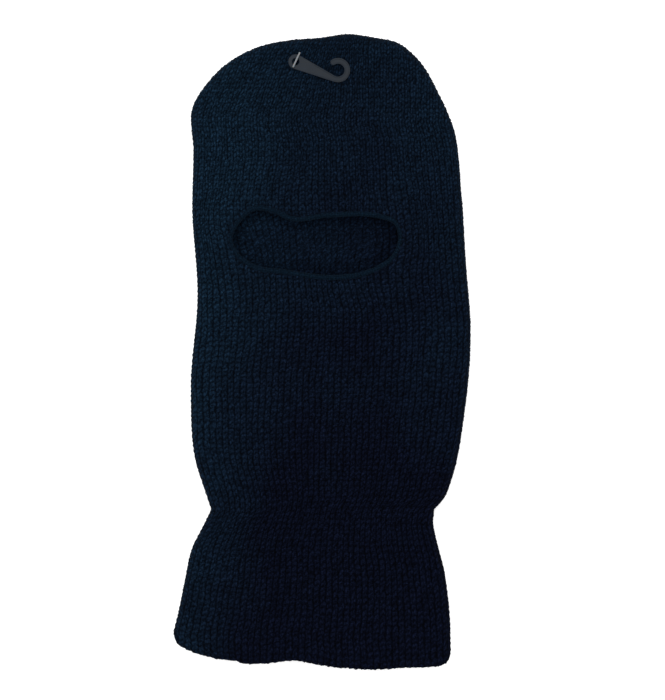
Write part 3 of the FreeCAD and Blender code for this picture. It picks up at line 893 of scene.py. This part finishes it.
def rib_knit():
    """Acrylic rib knit, spun and coloured with dye: a matt, slightly hairy yarn with dark valleys,
    their darkness partly painted shade, and painted light that makes it lighter and bluer towards
    the crown, the left side and both edges.
    """
    finish = bpy.context.scene.balaclava_finishes
    material, tree, shader = new_material("acrylic_rib_knit")
    place = node(tree, "ShaderNodeTexCoord").outputs["Object"]
    wale = node(tree, "ShaderNodeAttribute", attribute_name="wale").outputs["Fac"]
    course = node(tree, "ShaderNodeAttribute", attribute_name="course").outputs["Fac"]
    apart = node(tree, "ShaderNodeSeparateXYZ", {0: place})
    # painted light: the yarn turns lighter and bluer towards the crown, the left side and both
    # edges, where more light falls and sheen shows at the sides; the random patches of the same
    # blue are real tone
    upwards = node(tree, "ShaderNodeMapRange",
                   {"Value": apart.outputs["Y"], "From Min": -0.20, "From Max": 0.20,
                    "To Min": -0.65, "To Max": 0.30})
    leftwards = node(tree, "ShaderNodeMath",
                     {0: apart.outputs["X"], 1: -4.0, 2: upwards}, operation="MULTIPLY_ADD")
    aside = node(tree, "ShaderNodeMath",
                 {0: apart.outputs["X"], 1: apart.outputs["X"]}, operation="MULTIPLY")
    edges = node(tree, "ShaderNodeMath", {0: aside, 1: 62.0, 2: leftwards},
                 operation="MULTIPLY_ADD")
    cloudy = node(tree, "ShaderNodeTexNoise",
                  {"Vector": place, "Scale": 22.0, "Detail": 3.0})
    cast = node(tree, "ShaderNodeMath", {0: cloudy, 1: 0.7, 2: edges},
                operation="MULTIPLY_ADD", use_clamp=True)
    # painted light: the navy yarn is mixed towards the lighter blue by the share above
    dye_and_painted_light = node(tree, "ShaderNodeMix",
                {"Factor": cast, "A": (*finish.navy, 1), "B": (*finish.teal_lit_and_mottled, 1)},
                data_type="RGBA")
    # spun fibre takes the dye unevenly; drawn about 1 mm coarse so that it shows
    fibre = node(tree, "ShaderNodeTexNoise",
                 {"Vector": place, "Scale": 1150.0, "Detail": 3.0, "Roughness": 0.7})
    heather = node(tree, "ShaderNodeMapRange",
                   {"Value": fibre, "From Min": 0.32, "From Max": 0.68, "To Min": 0.0,
                    "To Max": 2.02})
    # light hardly reaches the valleys between ribs and the gaps between stitches
    rib = node(tree, "ShaderNodeAttribute", attribute_name="rib").outputs["Fac"]
    loop = node(tree, "ShaderNodeAttribute", attribute_name="loop").outputs["Fac"]
    tone = node(tree, "ShaderNodeAttribute", attribute_name="tone").outputs["Fac"]
    hollow = node(tree, "ShaderNodeMapRange",
                  {"Value": rib, "From Max": 0.7, "To Min": 0.62, "To Max": 1.0})
    gap = node(tree, "ShaderNodeMapRange",
               {"Value": loop, "From Max": 0.6, "To Min": 0.4, "To Max": 1.24})
    stitch = node(tree, "ShaderNodeMapRange",
                  {"Value": tone, "To Min": 0.7, "To Max": 1.3})
    open_light = node(tree, "ShaderNodeMath", {0: hollow, 1: gap}, operation="MULTIPLY")
    each = node(tree, "ShaderNodeMath", {0: open_light, 1: stitch}, operation="MULTIPLY")
    shade = node(tree, "ShaderNodeMath", {0: each, 1: heather}, operation="MULTIPLY")
    # the yarn's plies twist along each leg of a stitch
    slanted = slanted_row(tree, wale, course, 0.9)
    plies = node(tree, "ShaderNodeMath", {0: slanted, 1: 6 * math.pi},
                 operation="MULTIPLY")
    ply = node(tree, "ShaderNodeMath", {0: plies}, operation="SINE")
    yarn = node(tree, "ShaderNodeMath", {0: ply, 1: 0.2, 2: fibre},
                operation="MULTIPLY_ADD")
    dress(tree, shader, dye_and_painted_light.outputs["Result"], shade, yarn, 0.8, 0.3 * MM)
    set_shader(shader, Roughness=0.95, **ACRYLIC)
    return material


def band_knit():
    """The same acrylic yarn knitted fine and plain, so the band looks smoother."""
    finish = bpy.context.scene.balaclava_finishes
    material, tree, shader = new_material("acrylic_band_knit")
    place = node(tree, "ShaderNodeTexCoord").outputs["Object"]
    fibre = node(tree, "ShaderNodeTexNoise",
                 {"Vector": place, "Scale": 1100.0, "Detail": 3.0, "Roughness": 0.7})
    heather = node(tree, "ShaderNodeMapRange",
                   {"Value": fibre, "From Min": 0.32, "From Max": 0.68, "To Min": 0.35,
                    "To Max": 1.7})
    # painted shade: the gaps between stitches are darker, where light hardly reaches
    loop = node(tree, "ShaderNodeAttribute", attribute_name="loop").outputs["Fac"]
    gap = node(tree, "ShaderNodeMapRange",
               {"Value": loop, "From Max": 0.6, "To Min": 0.55, "To Max": 1.2})
    shade = node(tree, "ShaderNodeMath", {0: gap, 1: heather}, operation="MULTIPLY")
    dress(tree, shader, finish.band, shade, fibre, 0.7, 0.2 * MM)
    set_shader(shader, Roughness=0.9, **ACRYLIC)
    return material


def sewing_thread():
    """Spun polyester thread: twisted, a little brighter along its strands."""
    finish = bpy.context.scene.balaclava_finishes
    material, tree, shader = new_material("polyester_thread")
    place = node(tree, "ShaderNodeTexCoord").outputs["Object"]
    twist = node(tree, "ShaderNodeTexWave",
                 {"Vector": place, "Scale": 900.0, "Distortion": 3.0},
                 wave_type="BANDS", bands_direction="DIAGONAL")
    light = node(tree, "ShaderNodeMapRange",
                 {"Value": twist.outputs["Fac"], "To Min": 0.7, "To Max": 1.4})
    dress(tree, shader, finish.thread, light, twist.outputs["Fac"], 0.5, 0.1 * MM)
    set_shader(shader, Roughness=0.85, IOR=1.5, Specular_IOR_Level=0.03)
    return material


def hook_plastic():
    """Injection moulded polypropylene in charcoal: satin, with flow marks and fine scuffs."""
    finish = bpy.context.scene.balaclava_finishes
    material, tree, shader = new_material("moulded_polypropylene")
    place = node(tree, "ShaderNodeTexCoord").outputs["Object"]
    lengthwise = node(tree, "ShaderNodeMapping",
                      {"Vector": place, "Rotation": (0, 0, math.radians(25)),
                       "Scale": (0.2, 1.0, 1.0)})
    flow = node(tree, "ShaderNodeTexNoise",
                {"Vector": lengthwise, "Scale": 700.0, "Detail": 3.0})
    spots = node(tree, "ShaderNodeTexNoise",
                 {"Vector": place, "Scale": 2500.0, "Detail": 2.0})
    tone = node(tree, "ShaderNodeMapRange",
                {"Value": flow, "From Min": 0.3, "From Max": 0.7, "To Min": 0.75,
                 "To Max": 1.3})
    worn = node(tree, "ShaderNodeMapRange",
                {"Value": flow, "From Min": 0.3, "From Max": 0.7, "To Min": 0.42,
                 "To Max": 0.58})
    tree.links.new(worn.outputs[0], shader.inputs["Roughness"])
    dress(tree, shader, finish.hook, tone, spots, 0.25, 0.08 * MM)
    set_shader(shader, IOR=1.49, Specular_IOR_Level=0.15)
    return material


def pin_nylon():
    """Natural nylon drawn and moulded in one: milky, and lets a little light through."""
    finish = bpy.context.scene.balaclava_finishes
    material, tree, shader = new_material("natural_nylon")
    place = node(tree, "ShaderNodeTexCoord").outputs["Object"]
    cloudy = node(tree, "ShaderNodeTexNoise",
                  {"Vector": place, "Scale": 600.0, "Detail": 2.0})
    tone = node(tree, "ShaderNodeMapRange",
                {"Value": cloudy, "From Min": 0.3, "From Max": 0.7, "To Min": 0.85,
                 "To Max": 1.05})
    dress(tree, shader, finish.pin, tone, cloudy, 0.2, 0.08 * MM)
    set_shader(shader, Roughness=0.38, IOR=1.53, Subsurface_Weight=0.15,
               Subsurface_Scale=0.001)
    return material


# ------------------------------------------------------------------ moulded pieces
def polar(middle, radius, angles):
    """Points on a circle, in the plane of the hook."""
    angles = np.radians(np.atleast_1d(angles))
    return np.array(middle) + radius * np.stack([np.cos(angles), np.sin(angles)], axis=1)


ARC_STEP = 0.45 * MM
STRAIGHT_STEP = 0.8 * MM


def arc(middle, radius, start, end):
    """An arc from one bearing to another, in degrees."""
    count = max(3, math.ceil(abs(math.radians(end - start)) * radius / ARC_STEP))
    return polar(middle, radius, np.linspace(start, end, count + 1))


def straight(start, end):
    """Points between two places, without the places themselves."""
    count = math.ceil(np.linalg.norm(end - start) / STRAIGHT_STEP)
    return start + np.linspace(0, 1, count + 1)[1:-1, None] * (end - start)


def hook_outline(hook):
    """The hook's edge round its head, along the shank and round both sides of the curl."""
    middle = np.array([hook.reach, hook.offset])
    inner = hook.curl - hook.arm
    distance = np.linalg.norm(middle)
    bearing = math.degrees(math.atan2(middle[1], middle[0]))
    lower = bearing - 90 - math.degrees(math.asin((hook.curl - hook.head) / distance))
    upper = bearing + math.degrees(math.acos((hook.head + inner) / distance))
    tip_angle = math.degrees(hook.tip)
    tip = polar(middle, hook.curl - hook.arm / 2, tip_angle)[0]
    head = arc((0, 0), hook.head, upper, lower + 360)
    outside = arc(middle, hook.curl, lower, tip_angle)
    cap = arc(tip, hook.arm / 2, tip_angle, tip_angle + 180)[1:-1]
    hollow = arc(middle, inner, tip_angle, upper - 180)
    return np.vstack([head, straight(head[-1], outside[0]), outside, cap, hollow,
                      straight(hollow[-1], head[0])])


def plate(name, loops, steps, web):
    """A moulded plate with a rim along its edges.

    loops run with the plastic on their left. steps are (distance in from the edge, height),
    from the underside to the rim's inner foot, and web says how deep the web lies at a point.
    """
    shape = bmesh.new()
    first, last = [], []
    for loop in loops:
        inwards = -right_hand(loop, closed=True)
        rings = []
        for i, (inset, height) in enumerate(steps):
            xy = loop + inset * inwards
            drop = web(xy) if i == len(steps) - 1 else 0 * xy[:, 0]
            rings.append([shape.verts.new((x, y, height - d))
                          for (x, y), d in zip(xy, drop)])
        for low, high in zip(rings, rings[1:]):
            for i in range(len(low)):
                shape.faces.new((low[i - 1], low[i], high[i], high[i - 1])).smooth = True
        first += [shape.edges.get((a, b)) for a, b in
                  zip(rings[0], rings[0][1:] + rings[0][:1])]
        last += [shape.edges.get((a, b)) for a, b in
                 zip(rings[-1], rings[-1][1:] + rings[-1][:1])]
    for edges, side in ((first, -1), (last, 1)):
        fill(shape, edges, side)
    mesh = bpy.data.meshes.new(name)
    shape.to_mesh(mesh)
    shape.free()
    return linked(name, mesh)


def lathe(name, profile, start, direction, sides=28):
    """A rod turned about a line: profile is (distance along it, radius) pairs, ends included."""
    start, direction = np.array(start), unit(np.array(direction, float))
    helper = UP if abs(direction[2]) < 0.9 else np.array([1.0, 0, 0])
    one = unit(np.cross(helper, direction))
    two = np.cross(direction, one)
    angles = np.linspace(0, 2 * math.pi, sides, endpoint=False)
    ring = np.cos(angles)[:, None] * one + np.sin(angles)[:, None] * two
    points, faces = [start + profile[0][0] * direction], []
    for along, radius in profile[1:-1]:
        points += list(start + along * direction + radius * ring)
    points.append(start + profile[-1][0] * direction)
    rings = len(profile) - 2
    after = np.roll(np.arange(sides), -1)
    for i in range(sides):
        j = after[i]
        faces.append((0, 1 + j, 1 + i))
        for k in range(rings - 1):
            low, high = 1 + k * sides, 1 + (k + 1) * sides
            faces.append((low + i, low + j, high + j, high + i))
        last = 1 + (rings - 1) * sides
        faces.append((len(points) - 1, last + i, last + j))
    mesh = bpy.data.meshes.new(name)
    mesh.from_pydata([tuple(p) for p in points], [], faces, shade_flat=False)
    return linked(name, mesh)


def rounded(long, radius, swell=1.0, steps=6):
    """The profile of a rod with round ends, a little thicker in its middle."""
    turn = np.linspace(0, math.pi / 2, steps + 1)
    ends = [(radius * (1 - math.cos(t)), radius * math.sin(t)) for t in turn]
    middle = [(long * s, radius * (1 + (swell - 1) * math.exp(-((s - 0.5) / 0.07) ** 2)))
              for s in np.linspace(0.15, 0.85, 29)]
    far = [(long - a, r) for a, r in reversed(ends)]
    return ends + middle + far


def bend_at_waist(piece):
    """Bakes the piece's placement into its mesh."""
    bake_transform(piece)


def knit_values(knit, depth, material):
    """What the knit tree is told for the ribbed tube."""
    return {"Rib Depth": depth, "Stitch Height": knit.stitch, "Slant": 0.42,
            "Fuzz": 0.25 * MM, "Wave": knit.wave, "Wander": knit.wander,
            "Jitter": knit.jitter, "Wobble": knit.wobble, "Centre Groove": knit.groove,
            "Lower Groove": knit.lower_groove, "Seed": 3.0, "Material": material}


# The grid's columns within a rib, and its rows within a course.
TOP_PLACES = (0, 0.13, 0.3, 0.5, 0.7, 0.87)
TABLE_PLACES = (0, 0.25, 0.5, 0.75)
TOP_ROWS = 4
TABLE_ROWS = 2
REVERSE_ROWS = 3

TURN_IN = 3.8 * MM  # how far a wall's edge is turned in
BACK_LINING = 1.9 * MM  # height of the back wall's lining
REVERSE_LINING = 1.75 * MM
REVERSE_FACE = 2.9 * MM
LEVEL_SLACK = 0.87  # inside the side folds, where the cloth is this near to level


class BALACLAVA_OT_hood(bpy.types.Operator):
    """Knits the hood: its top side with the eye opening, its table side and that side's reverse"""

    bl_idname = "balaclava.hood"
    bl_label = "Hood"

    def execute(self, context):
        knit = context.scene.balaclava_knit
        tree, material = kept("knit", knit_tree), kept("rib_knit", rib_knit)
        front = hood_cloth(knit, TOP_PLACES, TOP_ROWS)
        front["keep"] = front["keep"] & front["clear"]
        snap_to_crown(front)
        snap_to_eye(front)
        top = grown(wall("knit_hood_front", front, LOFT - knit.wall, TURN_IN), tree,
                    knit_values(knit, knit.rib_depth, material))
        back = hood_cloth(knit, TABLE_PLACES, TABLE_ROWS)
        snap_to_crown(back)
        table = grown(wall("knit_hood_back", turned_over(back), BACK_LINING, TURN_IN, -1),
                      tree, knit_values(knit, knit.table_depth, material))
        inside = hood_cloth(knit, TABLE_PLACES, REVERSE_ROWS)
        inside["keep"] = cells_inside(inside["slack"] > LEVEL_SLACK)
        inside["relief"][...] = 1
        inside["place"][..., 2] = REVERSE_FACE
        inside["outward"][...] = UP
        reverse = grown(wall("knit_hood_reverse", inside, REVERSE_LINING, 0), tree,
                        {**knit_values(knit, knit.table_depth, material), "Wave": 0.0})
        for piece in (top, table, reverse):
            bend_at_waist(piece)
        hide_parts("hood_front")
        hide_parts("hood_back")
        return {"FINISHED"}


class BALACLAVA_OT_neck(bpy.types.Operator):
    """Knits the neck's two sides and the turned hem round its mouth"""

    bl_idname = "balaclava.neck"
    bl_label = "Neck and hem"

    def execute(self, context):
        knit = context.scene.balaclava_knit
        tree, material = kept("knit", knit_tree), kept("rib_knit", rib_knit)
        front = neck_cloth(knit, TOP_PLACES, TOP_ROWS)
        top = grown(wall("knit_neck_front", front, LOFT - knit.wall, TURN_IN), tree,
                    knit_values(knit, knit.rib_depth, material))
        back = turned_over(neck_cloth(knit, TABLE_PLACES, TABLE_ROWS))
        table = grown(wall("knit_neck_back", back, knit.wall, TURN_IN, -1), tree,
                      knit_values(knit, knit.table_depth, material))
        hem = grown(self.hem(knit, front["courses"]), tree,
                    knit_values(knit, knit.rib_depth, material))
        for piece in (top, table):
            bend_at_waist(piece)
        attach(hem, "neck")
        for piece, cad in ((top, "neck_front"), (table, "neck_back"), (hem, "hem_welt")):
            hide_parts(cad)
        return {"FINISHED"}

    def hem(self, knit, courses):
        """The hem as one ring: out along the cloth, round its edge and back inside."""
        wale = columns(knit.ribs, TOP_PLACES)
        share = wale / knit.ribs
        roll = knit.wall / 2
        x, _, _ = across(share, MOUTH[0, 0], MOUTH[-1, 0], knit.side_fold)
        mouth = mouth_at(x)
        # its section runs down the face, round the edge and back up inside
        outer = np.linspace(0, 1, 8)
        turn = np.linspace(0, math.pi, 9)[1:-1]
        inner = np.linspace(1, 0, 5)
        drop = np.concatenate([outer * (knit.hem - roll),
                               knit.hem - roll + roll * np.sin(turn),
                               inner * (knit.hem - roll)])
        inwards = np.concatenate([0 * outer, roll * (1 - np.cos(turn)),
                                  0 * inner + knit.wall])
        facing = np.concatenate([0 * outer, turn, 0 * inner + math.pi])
        share_grid, drop_grid = np.meshgrid(share, drop, indexing="ij")
        y = (mouth + knit.hem)[:, None] - drop_grid
        gx, rise, side = across(share_grid, left_at(y), right_at(y), knit.side_fold)
        flat_out = unit(np.dstack([side / knit.side_fold, 0 * side, rise / MIDDLE]))
        place = np.dstack([gx, y, MIDDLE + MIDDLE * rise]) - flat_out * inwards[None, :, None]
        outward = flat_out * np.cos(facing)[None, :, None]
        outward[..., 1] -= np.sin(facing)[None, :]
        # the relief is weaker at the edge and inside, and ends at the inner rim
        fade = np.concatenate([0 * outer + 1, 0.45 + 0.55 * np.abs(np.cos(turn)),
                               0 * inner + 0.4])
        fade[-1] = 0
        relief = fade * (0.5 + 0.5 * rise)
        relief = np.vstack([relief[:-1], relief[::-1][:-1]])
        under = turned_over({"place": place[::-1], "outward": outward[::-1]})
        place = np.vstack([place[:-1], under["place"][:-1]])
        outward = np.vstack([outward[:-1], under["outward"][:-1]])
        around = np.concatenate([wale[:-1], wale[:-1] + knit.ribs])
        count = (len(around), len(drop))
        course = -courses - np.broadcast_to(drop / knit.neck_course, count)
        slack = np.vstack([rise[:-1], rise[::-1][:-1]]) ** 2
        piece = rolled("knit_hem", place, outward,
                       np.broadcast_to(around[:, None], count), course, slack,
                       relief, closed_long=True)
        shape = bmesh.new()
        shape.from_mesh(piece.data)
        bmesh.ops.recalc_face_normals(shape, faces=shape.faces)
        shape.verts.ensure_lookup_table()
        ends = len(drop)
        for i in range(len(around)):
            j = (i + 1) % len(around)
            for column in (0, ends - 1):
                pair = (shape.verts[i * ends + column], shape.verts[j * ends + column])
                shape.edges.get(pair).smooth = False
        shape.to_mesh(piece.data)
        shape.free()
        return piece


BAND_STRANDS = 6
LINKING_GAP = 0.35 * MM  # from the band's edge to the stitches that hold it
LINKING_LIFT = 0.05 * MM
SEAM_INSET = 4.4 * MM  # from the crown's edge to the middle of the seam
SEAM_SHORT = 60  # points of the crown's line that the seam leaves free at each end
SEAM_HALF_WIDTH = 1.0 * MM
SEAM_AIR = 0.2 * MM
SEAM_COURSE = 2.4 * MM
SEAM_STRANDS = 4


class BALACLAVA_OT_eye_band(bpy.types.Operator):
    """Rolls the fine band round the eye opening and links it on with stitches"""

    bl_idname = "balaclava.eye_band"
    bl_label = "Eye band"

    def execute(self, context):
        sizes = context.scene.balaclava_band
        low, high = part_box("eye_binding")

        def half_width(line, normal):
            lips = ease(np.abs(normal[:, 1]), 0.3, 0.95)
            return (sizes.side_width + (sizes.lip_width - sizes.side_width) * lips) / 2

        rolled_band = band("band_eye", smooth(EYE, closed=True), True, half_width,
                           (low.z + high.z) / 2, (high.z - low.z) / 2, sizes.course,
                           BAND_STRANDS)
        rolled_band = grown(rolled_band, kept("knit", knit_tree), {
            "Rib Depth": sizes.relief, "Stitch Height": 1.6 * sizes.relief, "Slant": 0.5,
            "Fuzz": 0.5 * MM, "Wave": 0.6 * MM, "Wander": 1.2 * MM, "Jitter": 0.3 * MM,
            "Seed": 5.0, "Material": kept("band_knit", band_knit)})
        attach(rolled_band, "hood")
        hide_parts("eye_binding")

        line, _ = spaced(smooth(EYE, closed=True), 1 * MM, closed=True)
        normal = right_hand(line, closed=True)
        beside = line + normal * (half_width(line, normal) + LINKING_GAP)[:, None]
        height = np.full(len(line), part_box("eye_stitching")[0].z + LINKING_LIFT)
        mesh = bpy.data.meshes.new("stitches_eye")
        count = len(line)
        mesh.from_pydata(np.column_stack([beside, height]),
                         [(i, (i + 1) % count) for i in range(count)], [])
        stitches = grown(linked("stitches_eye", mesh), kept("stitches", stitch_tree), {
            "Spacing": sizes.linking, "Size": (0.95 * MM, 0.32 * MM, 0.38 * MM),
            "Skew": 0.5, "Seed": 4, "Material": kept("thread", sewing_thread)})
        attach(stitches, "hood")
        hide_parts("eye_stitching")
        return {"FINISHED"}


class BALACLAVA_OT_crown_seam(bpy.types.Operator):
    """Makes the overlocked seam that closes the crown, inside the tube"""

    bl_idname = "balaclava.crown_seam"
    bl_label = "Crown seam"

    def execute(self, context):
        low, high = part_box("crown_seam")
        crown = smooth(HOOD[RIGHT_SHOULDER:LEFT_SHOULDER + 1])
        inside = crown - right_hand(crown) * SEAM_INSET
        seam = band("seam_crown", inside[SEAM_SHORT:-SEAM_SHORT], False,
                    lambda line, normal: np.full(len(line), SEAM_HALF_WIDTH),
                    (low.z + high.z) / 2, (high.z - low.z) / 2 - SEAM_AIR, SEAM_COURSE,
                    SEAM_STRANDS)
        seam = grown(seam, kept("knit", knit_tree), {
            "Rib Depth": 0.2 * MM, "Stitch Height": 0.5 * MM, "Slant": 0.8,
            "Fuzz": 0.1 * MM, "Wave": 0.0, "Wander": 0.0, "Seed": 6.0,
            "Material": kept("thread", sewing_thread)})
        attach(seam, "hood")
        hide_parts("crown_seam")
        return {"FINISHED"}


class BALACLAVA_OT_hang_hook(bpy.types.Operator):
    """Moulds the flat hang hook with its eye, shank and curled arm"""

    bl_idname = "balaclava.hang_hook"
    bl_label = "Hang hook"

    def execute(self, context):
        hook = context.scene.balaclava_hook
        low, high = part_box("hang_hook")
        thick = high.z - low.z
        rim = hook.rim
        steps = [(0.25 * MM, 0), (0.07 * MM, 0.08 * MM), (0, 0.25 * MM),
                 (0, thick - 0.28 * MM), (0.08 * MM, thick - 0.08 * MM),
                 (0.28 * MM, thick), (rim - 0.3 * MM, thick),
                 (rim - 0.12 * MM, thick - 0.04 * MM), (rim + 0.1 * MM, thick)]

        def web(xy):
            """The web is level with the rims at the eye and sinks along the shank."""
            return hook.groove * ease(xy[:, 0], 7 * MM, 15 * MM)

        eye = polar((0, 0), hook.eye, np.linspace(360, 0, 48, endpoint=False))
        piece = plate("hook_hanger", [hook_outline(hook), eye], steps, web)
        co = np.array([v.co for v in piece.data.vertices])
        cos, sin = math.cos(hook.turn), math.sin(hook.turn)
        turned = np.column_stack([co[:, 0] * cos - co[:, 1] * sin,
                                  co[:, 0] * sin + co[:, 1] * cos, co[:, 2]])
        # the eye end is the leftmost round of the plate, so the box places it
        turned += (low.x - turned[:, 0].min(), high.y - turned[:, 1].max(), low.z)
        piece.data.vertices.foreach_set("co", turned.ravel())
        piece.data.materials.append(kept("hook", hook_plastic))
        piece.data.update()
        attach(piece, "hook")
        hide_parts("hang_hook")
        return {"FINISHED"}


ANCHOR_TURN = math.radians(12)  # how the anchor bar lies inside the crown


class BALACLAVA_OT_tag_pin(bpy.types.Operator):
    """Makes the nylon pin: the bar over the hook, the filament and the anchor inside"""

    bl_idname = "balaclava.tag_pin"
    bl_label = "Tag pin"

    def execute(self, context):
        nylon = kept("nylon", pin_nylon)
        turn = context.scene.balaclava_hook.turn
        across_shank = (-math.sin(turn), math.cos(turn), 0)
        aslant = (math.cos(ANCHOR_TURN), math.sin(ANCHOR_TURN), 0)
        for cad, name, way, swell, body in (
            ("tag_pin_bar", "pin_bar", across_shank, 1.12, "pin_bar"),
            ("tag_pin_anchor", "pin_anchor", aslant, 1.1, "tag_pin"),
            ("tag_pin_filament", "pin_filament", (0, 0, 1), 1.0, "tag_pin"),
        ):
            low, high = (np.array(corner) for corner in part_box(cad))
            way, size = np.array(way), high - low
            if way[2]:
                radius, long = size[0] / 2, size[2]
            else:
                radius = size[2] / 2
                long = np.hypot(*(size - 2 * radius)[:2]) + 2 * radius
            start = (low + high) / 2 - way * long / 2
            piece = lathe(name, rounded(long, radius, swell), start, way)
            piece.data.materials.append(nylon)
            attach(piece, body)
            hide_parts(cad)
        return {"FINISHED"}


def floor_finish():
    """White acrylic light table: matt, plain, and lit a little from within."""
    material, tree, shader = new_material("white_light_table")
    place = node(tree, "ShaderNodeTexCoord").outputs["Object"]
    faint = node(tree, "ShaderNodeTexNoise", {"Vector": place, "Scale": 3.0})
    tone = node(tree, "ShaderNodeMapRange", {"Value": faint, "To Min": 0.9, "To Max": 0.93})
    white = node(tree, "ShaderNodeCombineXYZ", {0: tone, 1: tone, 2: tone})
    tree.links.new(white.outputs[0], shader.inputs["Base Color"])
    set_shader(shader, Roughness=0.8, Specular_IOR_Level=0.1,
               Emission_Color=(1, 1, 1, 1), Emission_Strength=0.45)
    return material


FLOOR_HALF = 3.0  # metres
FLOOR_DROP = 0.2 * MM  # keeps the floor clear of the yarn that rests on it
LAMP_PLACE = Vector((-0.15, 0.45, 1.7))
LAMP_SIZE = 1.6


class BALACLAVA_OT_stage(bpy.types.Operator):
    """Lays the white floor, and sets the camera overhead and the soft light"""

    bl_idname = "balaclava.stage"
    bl_label = "Stage"

    def execute(self, context):
        scene = context.scene
        stage = scene.balaclava_stage
        shape = bmesh.new()
        bmesh.ops.create_grid(shape, x_segments=2, y_segments=2, size=FLOOR_HALF)
        mesh = bpy.data.meshes.new("floor")
        shape.to_mesh(mesh)
        shape.free()
        mesh.transform(Matrix.Translation((0, 0, -FLOOR_DROP)))
        floor = linked("floor", mesh)
        mesh.materials.append(floor_finish())

        camera = bpy.data.cameras.new("overhead")
        camera.lens = stage.lens
        camera.sensor_width = 36
        high = stage.frame_height * stage.lens / camera.sensor_width
        view = bpy.data.objects.new("overhead", camera)
        view.location = (stage.middle_x, stage.middle_y, MIDDLE + high)
        scene.collection.objects.link(view)
        scene.camera = view

        lamp = bpy.data.lights.new("soft_lamp", "AREA")
        lamp.shape = "SQUARE"
        lamp.size = LAMP_SIZE
        lamp.energy = stage.lamp
        hung = bpy.data.objects.new("soft_lamp", lamp)
        hung.location = LAMP_PLACE
        hung.visible_camera = False
        hung.rotation_euler = (-LAMP_PLACE).to_track_quat("-Z", "Y").to_euler()
        scene.collection.objects.link(hung)

        world = bpy.data.worlds.new("even_light")
        world.use_nodes = True
        background = world.node_tree.nodes["Background"]
        background.inputs["Color"].default_value = (1, 1, 1, 1)
        background.inputs["Strength"].default_value = stage.sky
        scene.world = world
        scene.view_settings.view_transform = "Standard"
        return {"FINISHED"}


OPERATORS = (
    BALACLAVA_OT_stage,
    BALACLAVA_OT_hood,
    BALACLAVA_OT_neck,
    BALACLAVA_OT_eye_band,
    BALACLAVA_OT_crown_seam,
    BALACLAVA_OT_hang_hook,
    BALACLAVA_OT_tag_pin,
)
SIZES = {
    "balaclava_knit": KnitSizes,
    "balaclava_band": BandSizes,
    "balaclava_hook": HookSizes,
    "balaclava_finishes": Finishes,
    "balaclava_stage": StageSizes,
}


class BALACLAVA_PT_panel(bpy.types.Panel):
    """Lists the pieces of the balaclava and their sizes"""

    bl_idname = "BALACLAVA_PT_panel"
    bl_label = "Balaclava"
    bl_space_type = "VIEW_3D"
    bl_region_type = "UI"
    bl_category = "Balaclava"

    def draw(self, context):
        for operator in OPERATORS:
            self.layout.operator(operator.bl_idname)
        for name, group in SIZES.items():
            box = self.layout.box()
            box.label(text=group.__doc__)
            for field in group.__annotations__:
                box.prop(getattr(context.scene, name), field)


def register():
    """Adds the settings, the operators and the panel."""
    for made in (*SIZES.values(), *OPERATORS, BALACLAVA_PT_panel):
        bpy.utils.register_class(made)
    for name, group in SIZES.items():
        setattr(bpy.types.Scene, name, bpy.props.PointerProperty(type=group))


def unregister():
    """Takes them away again."""
    for name in SIZES:
        delattr(bpy.types.Scene, name)
    for made in (BALACLAVA_PT_panel, *reversed(OPERATORS), *reversed(SIZES.values())):
        bpy.utils.unregister_class(made)


def main():
    """Registers everything, then makes every piece in order."""
    register()
    for operator in OPERATORS:
        group, name = operator.bl_idname.split(".")
        getattr(getattr(bpy.ops, group), name)()


if __name__ == "__main__":
    main()
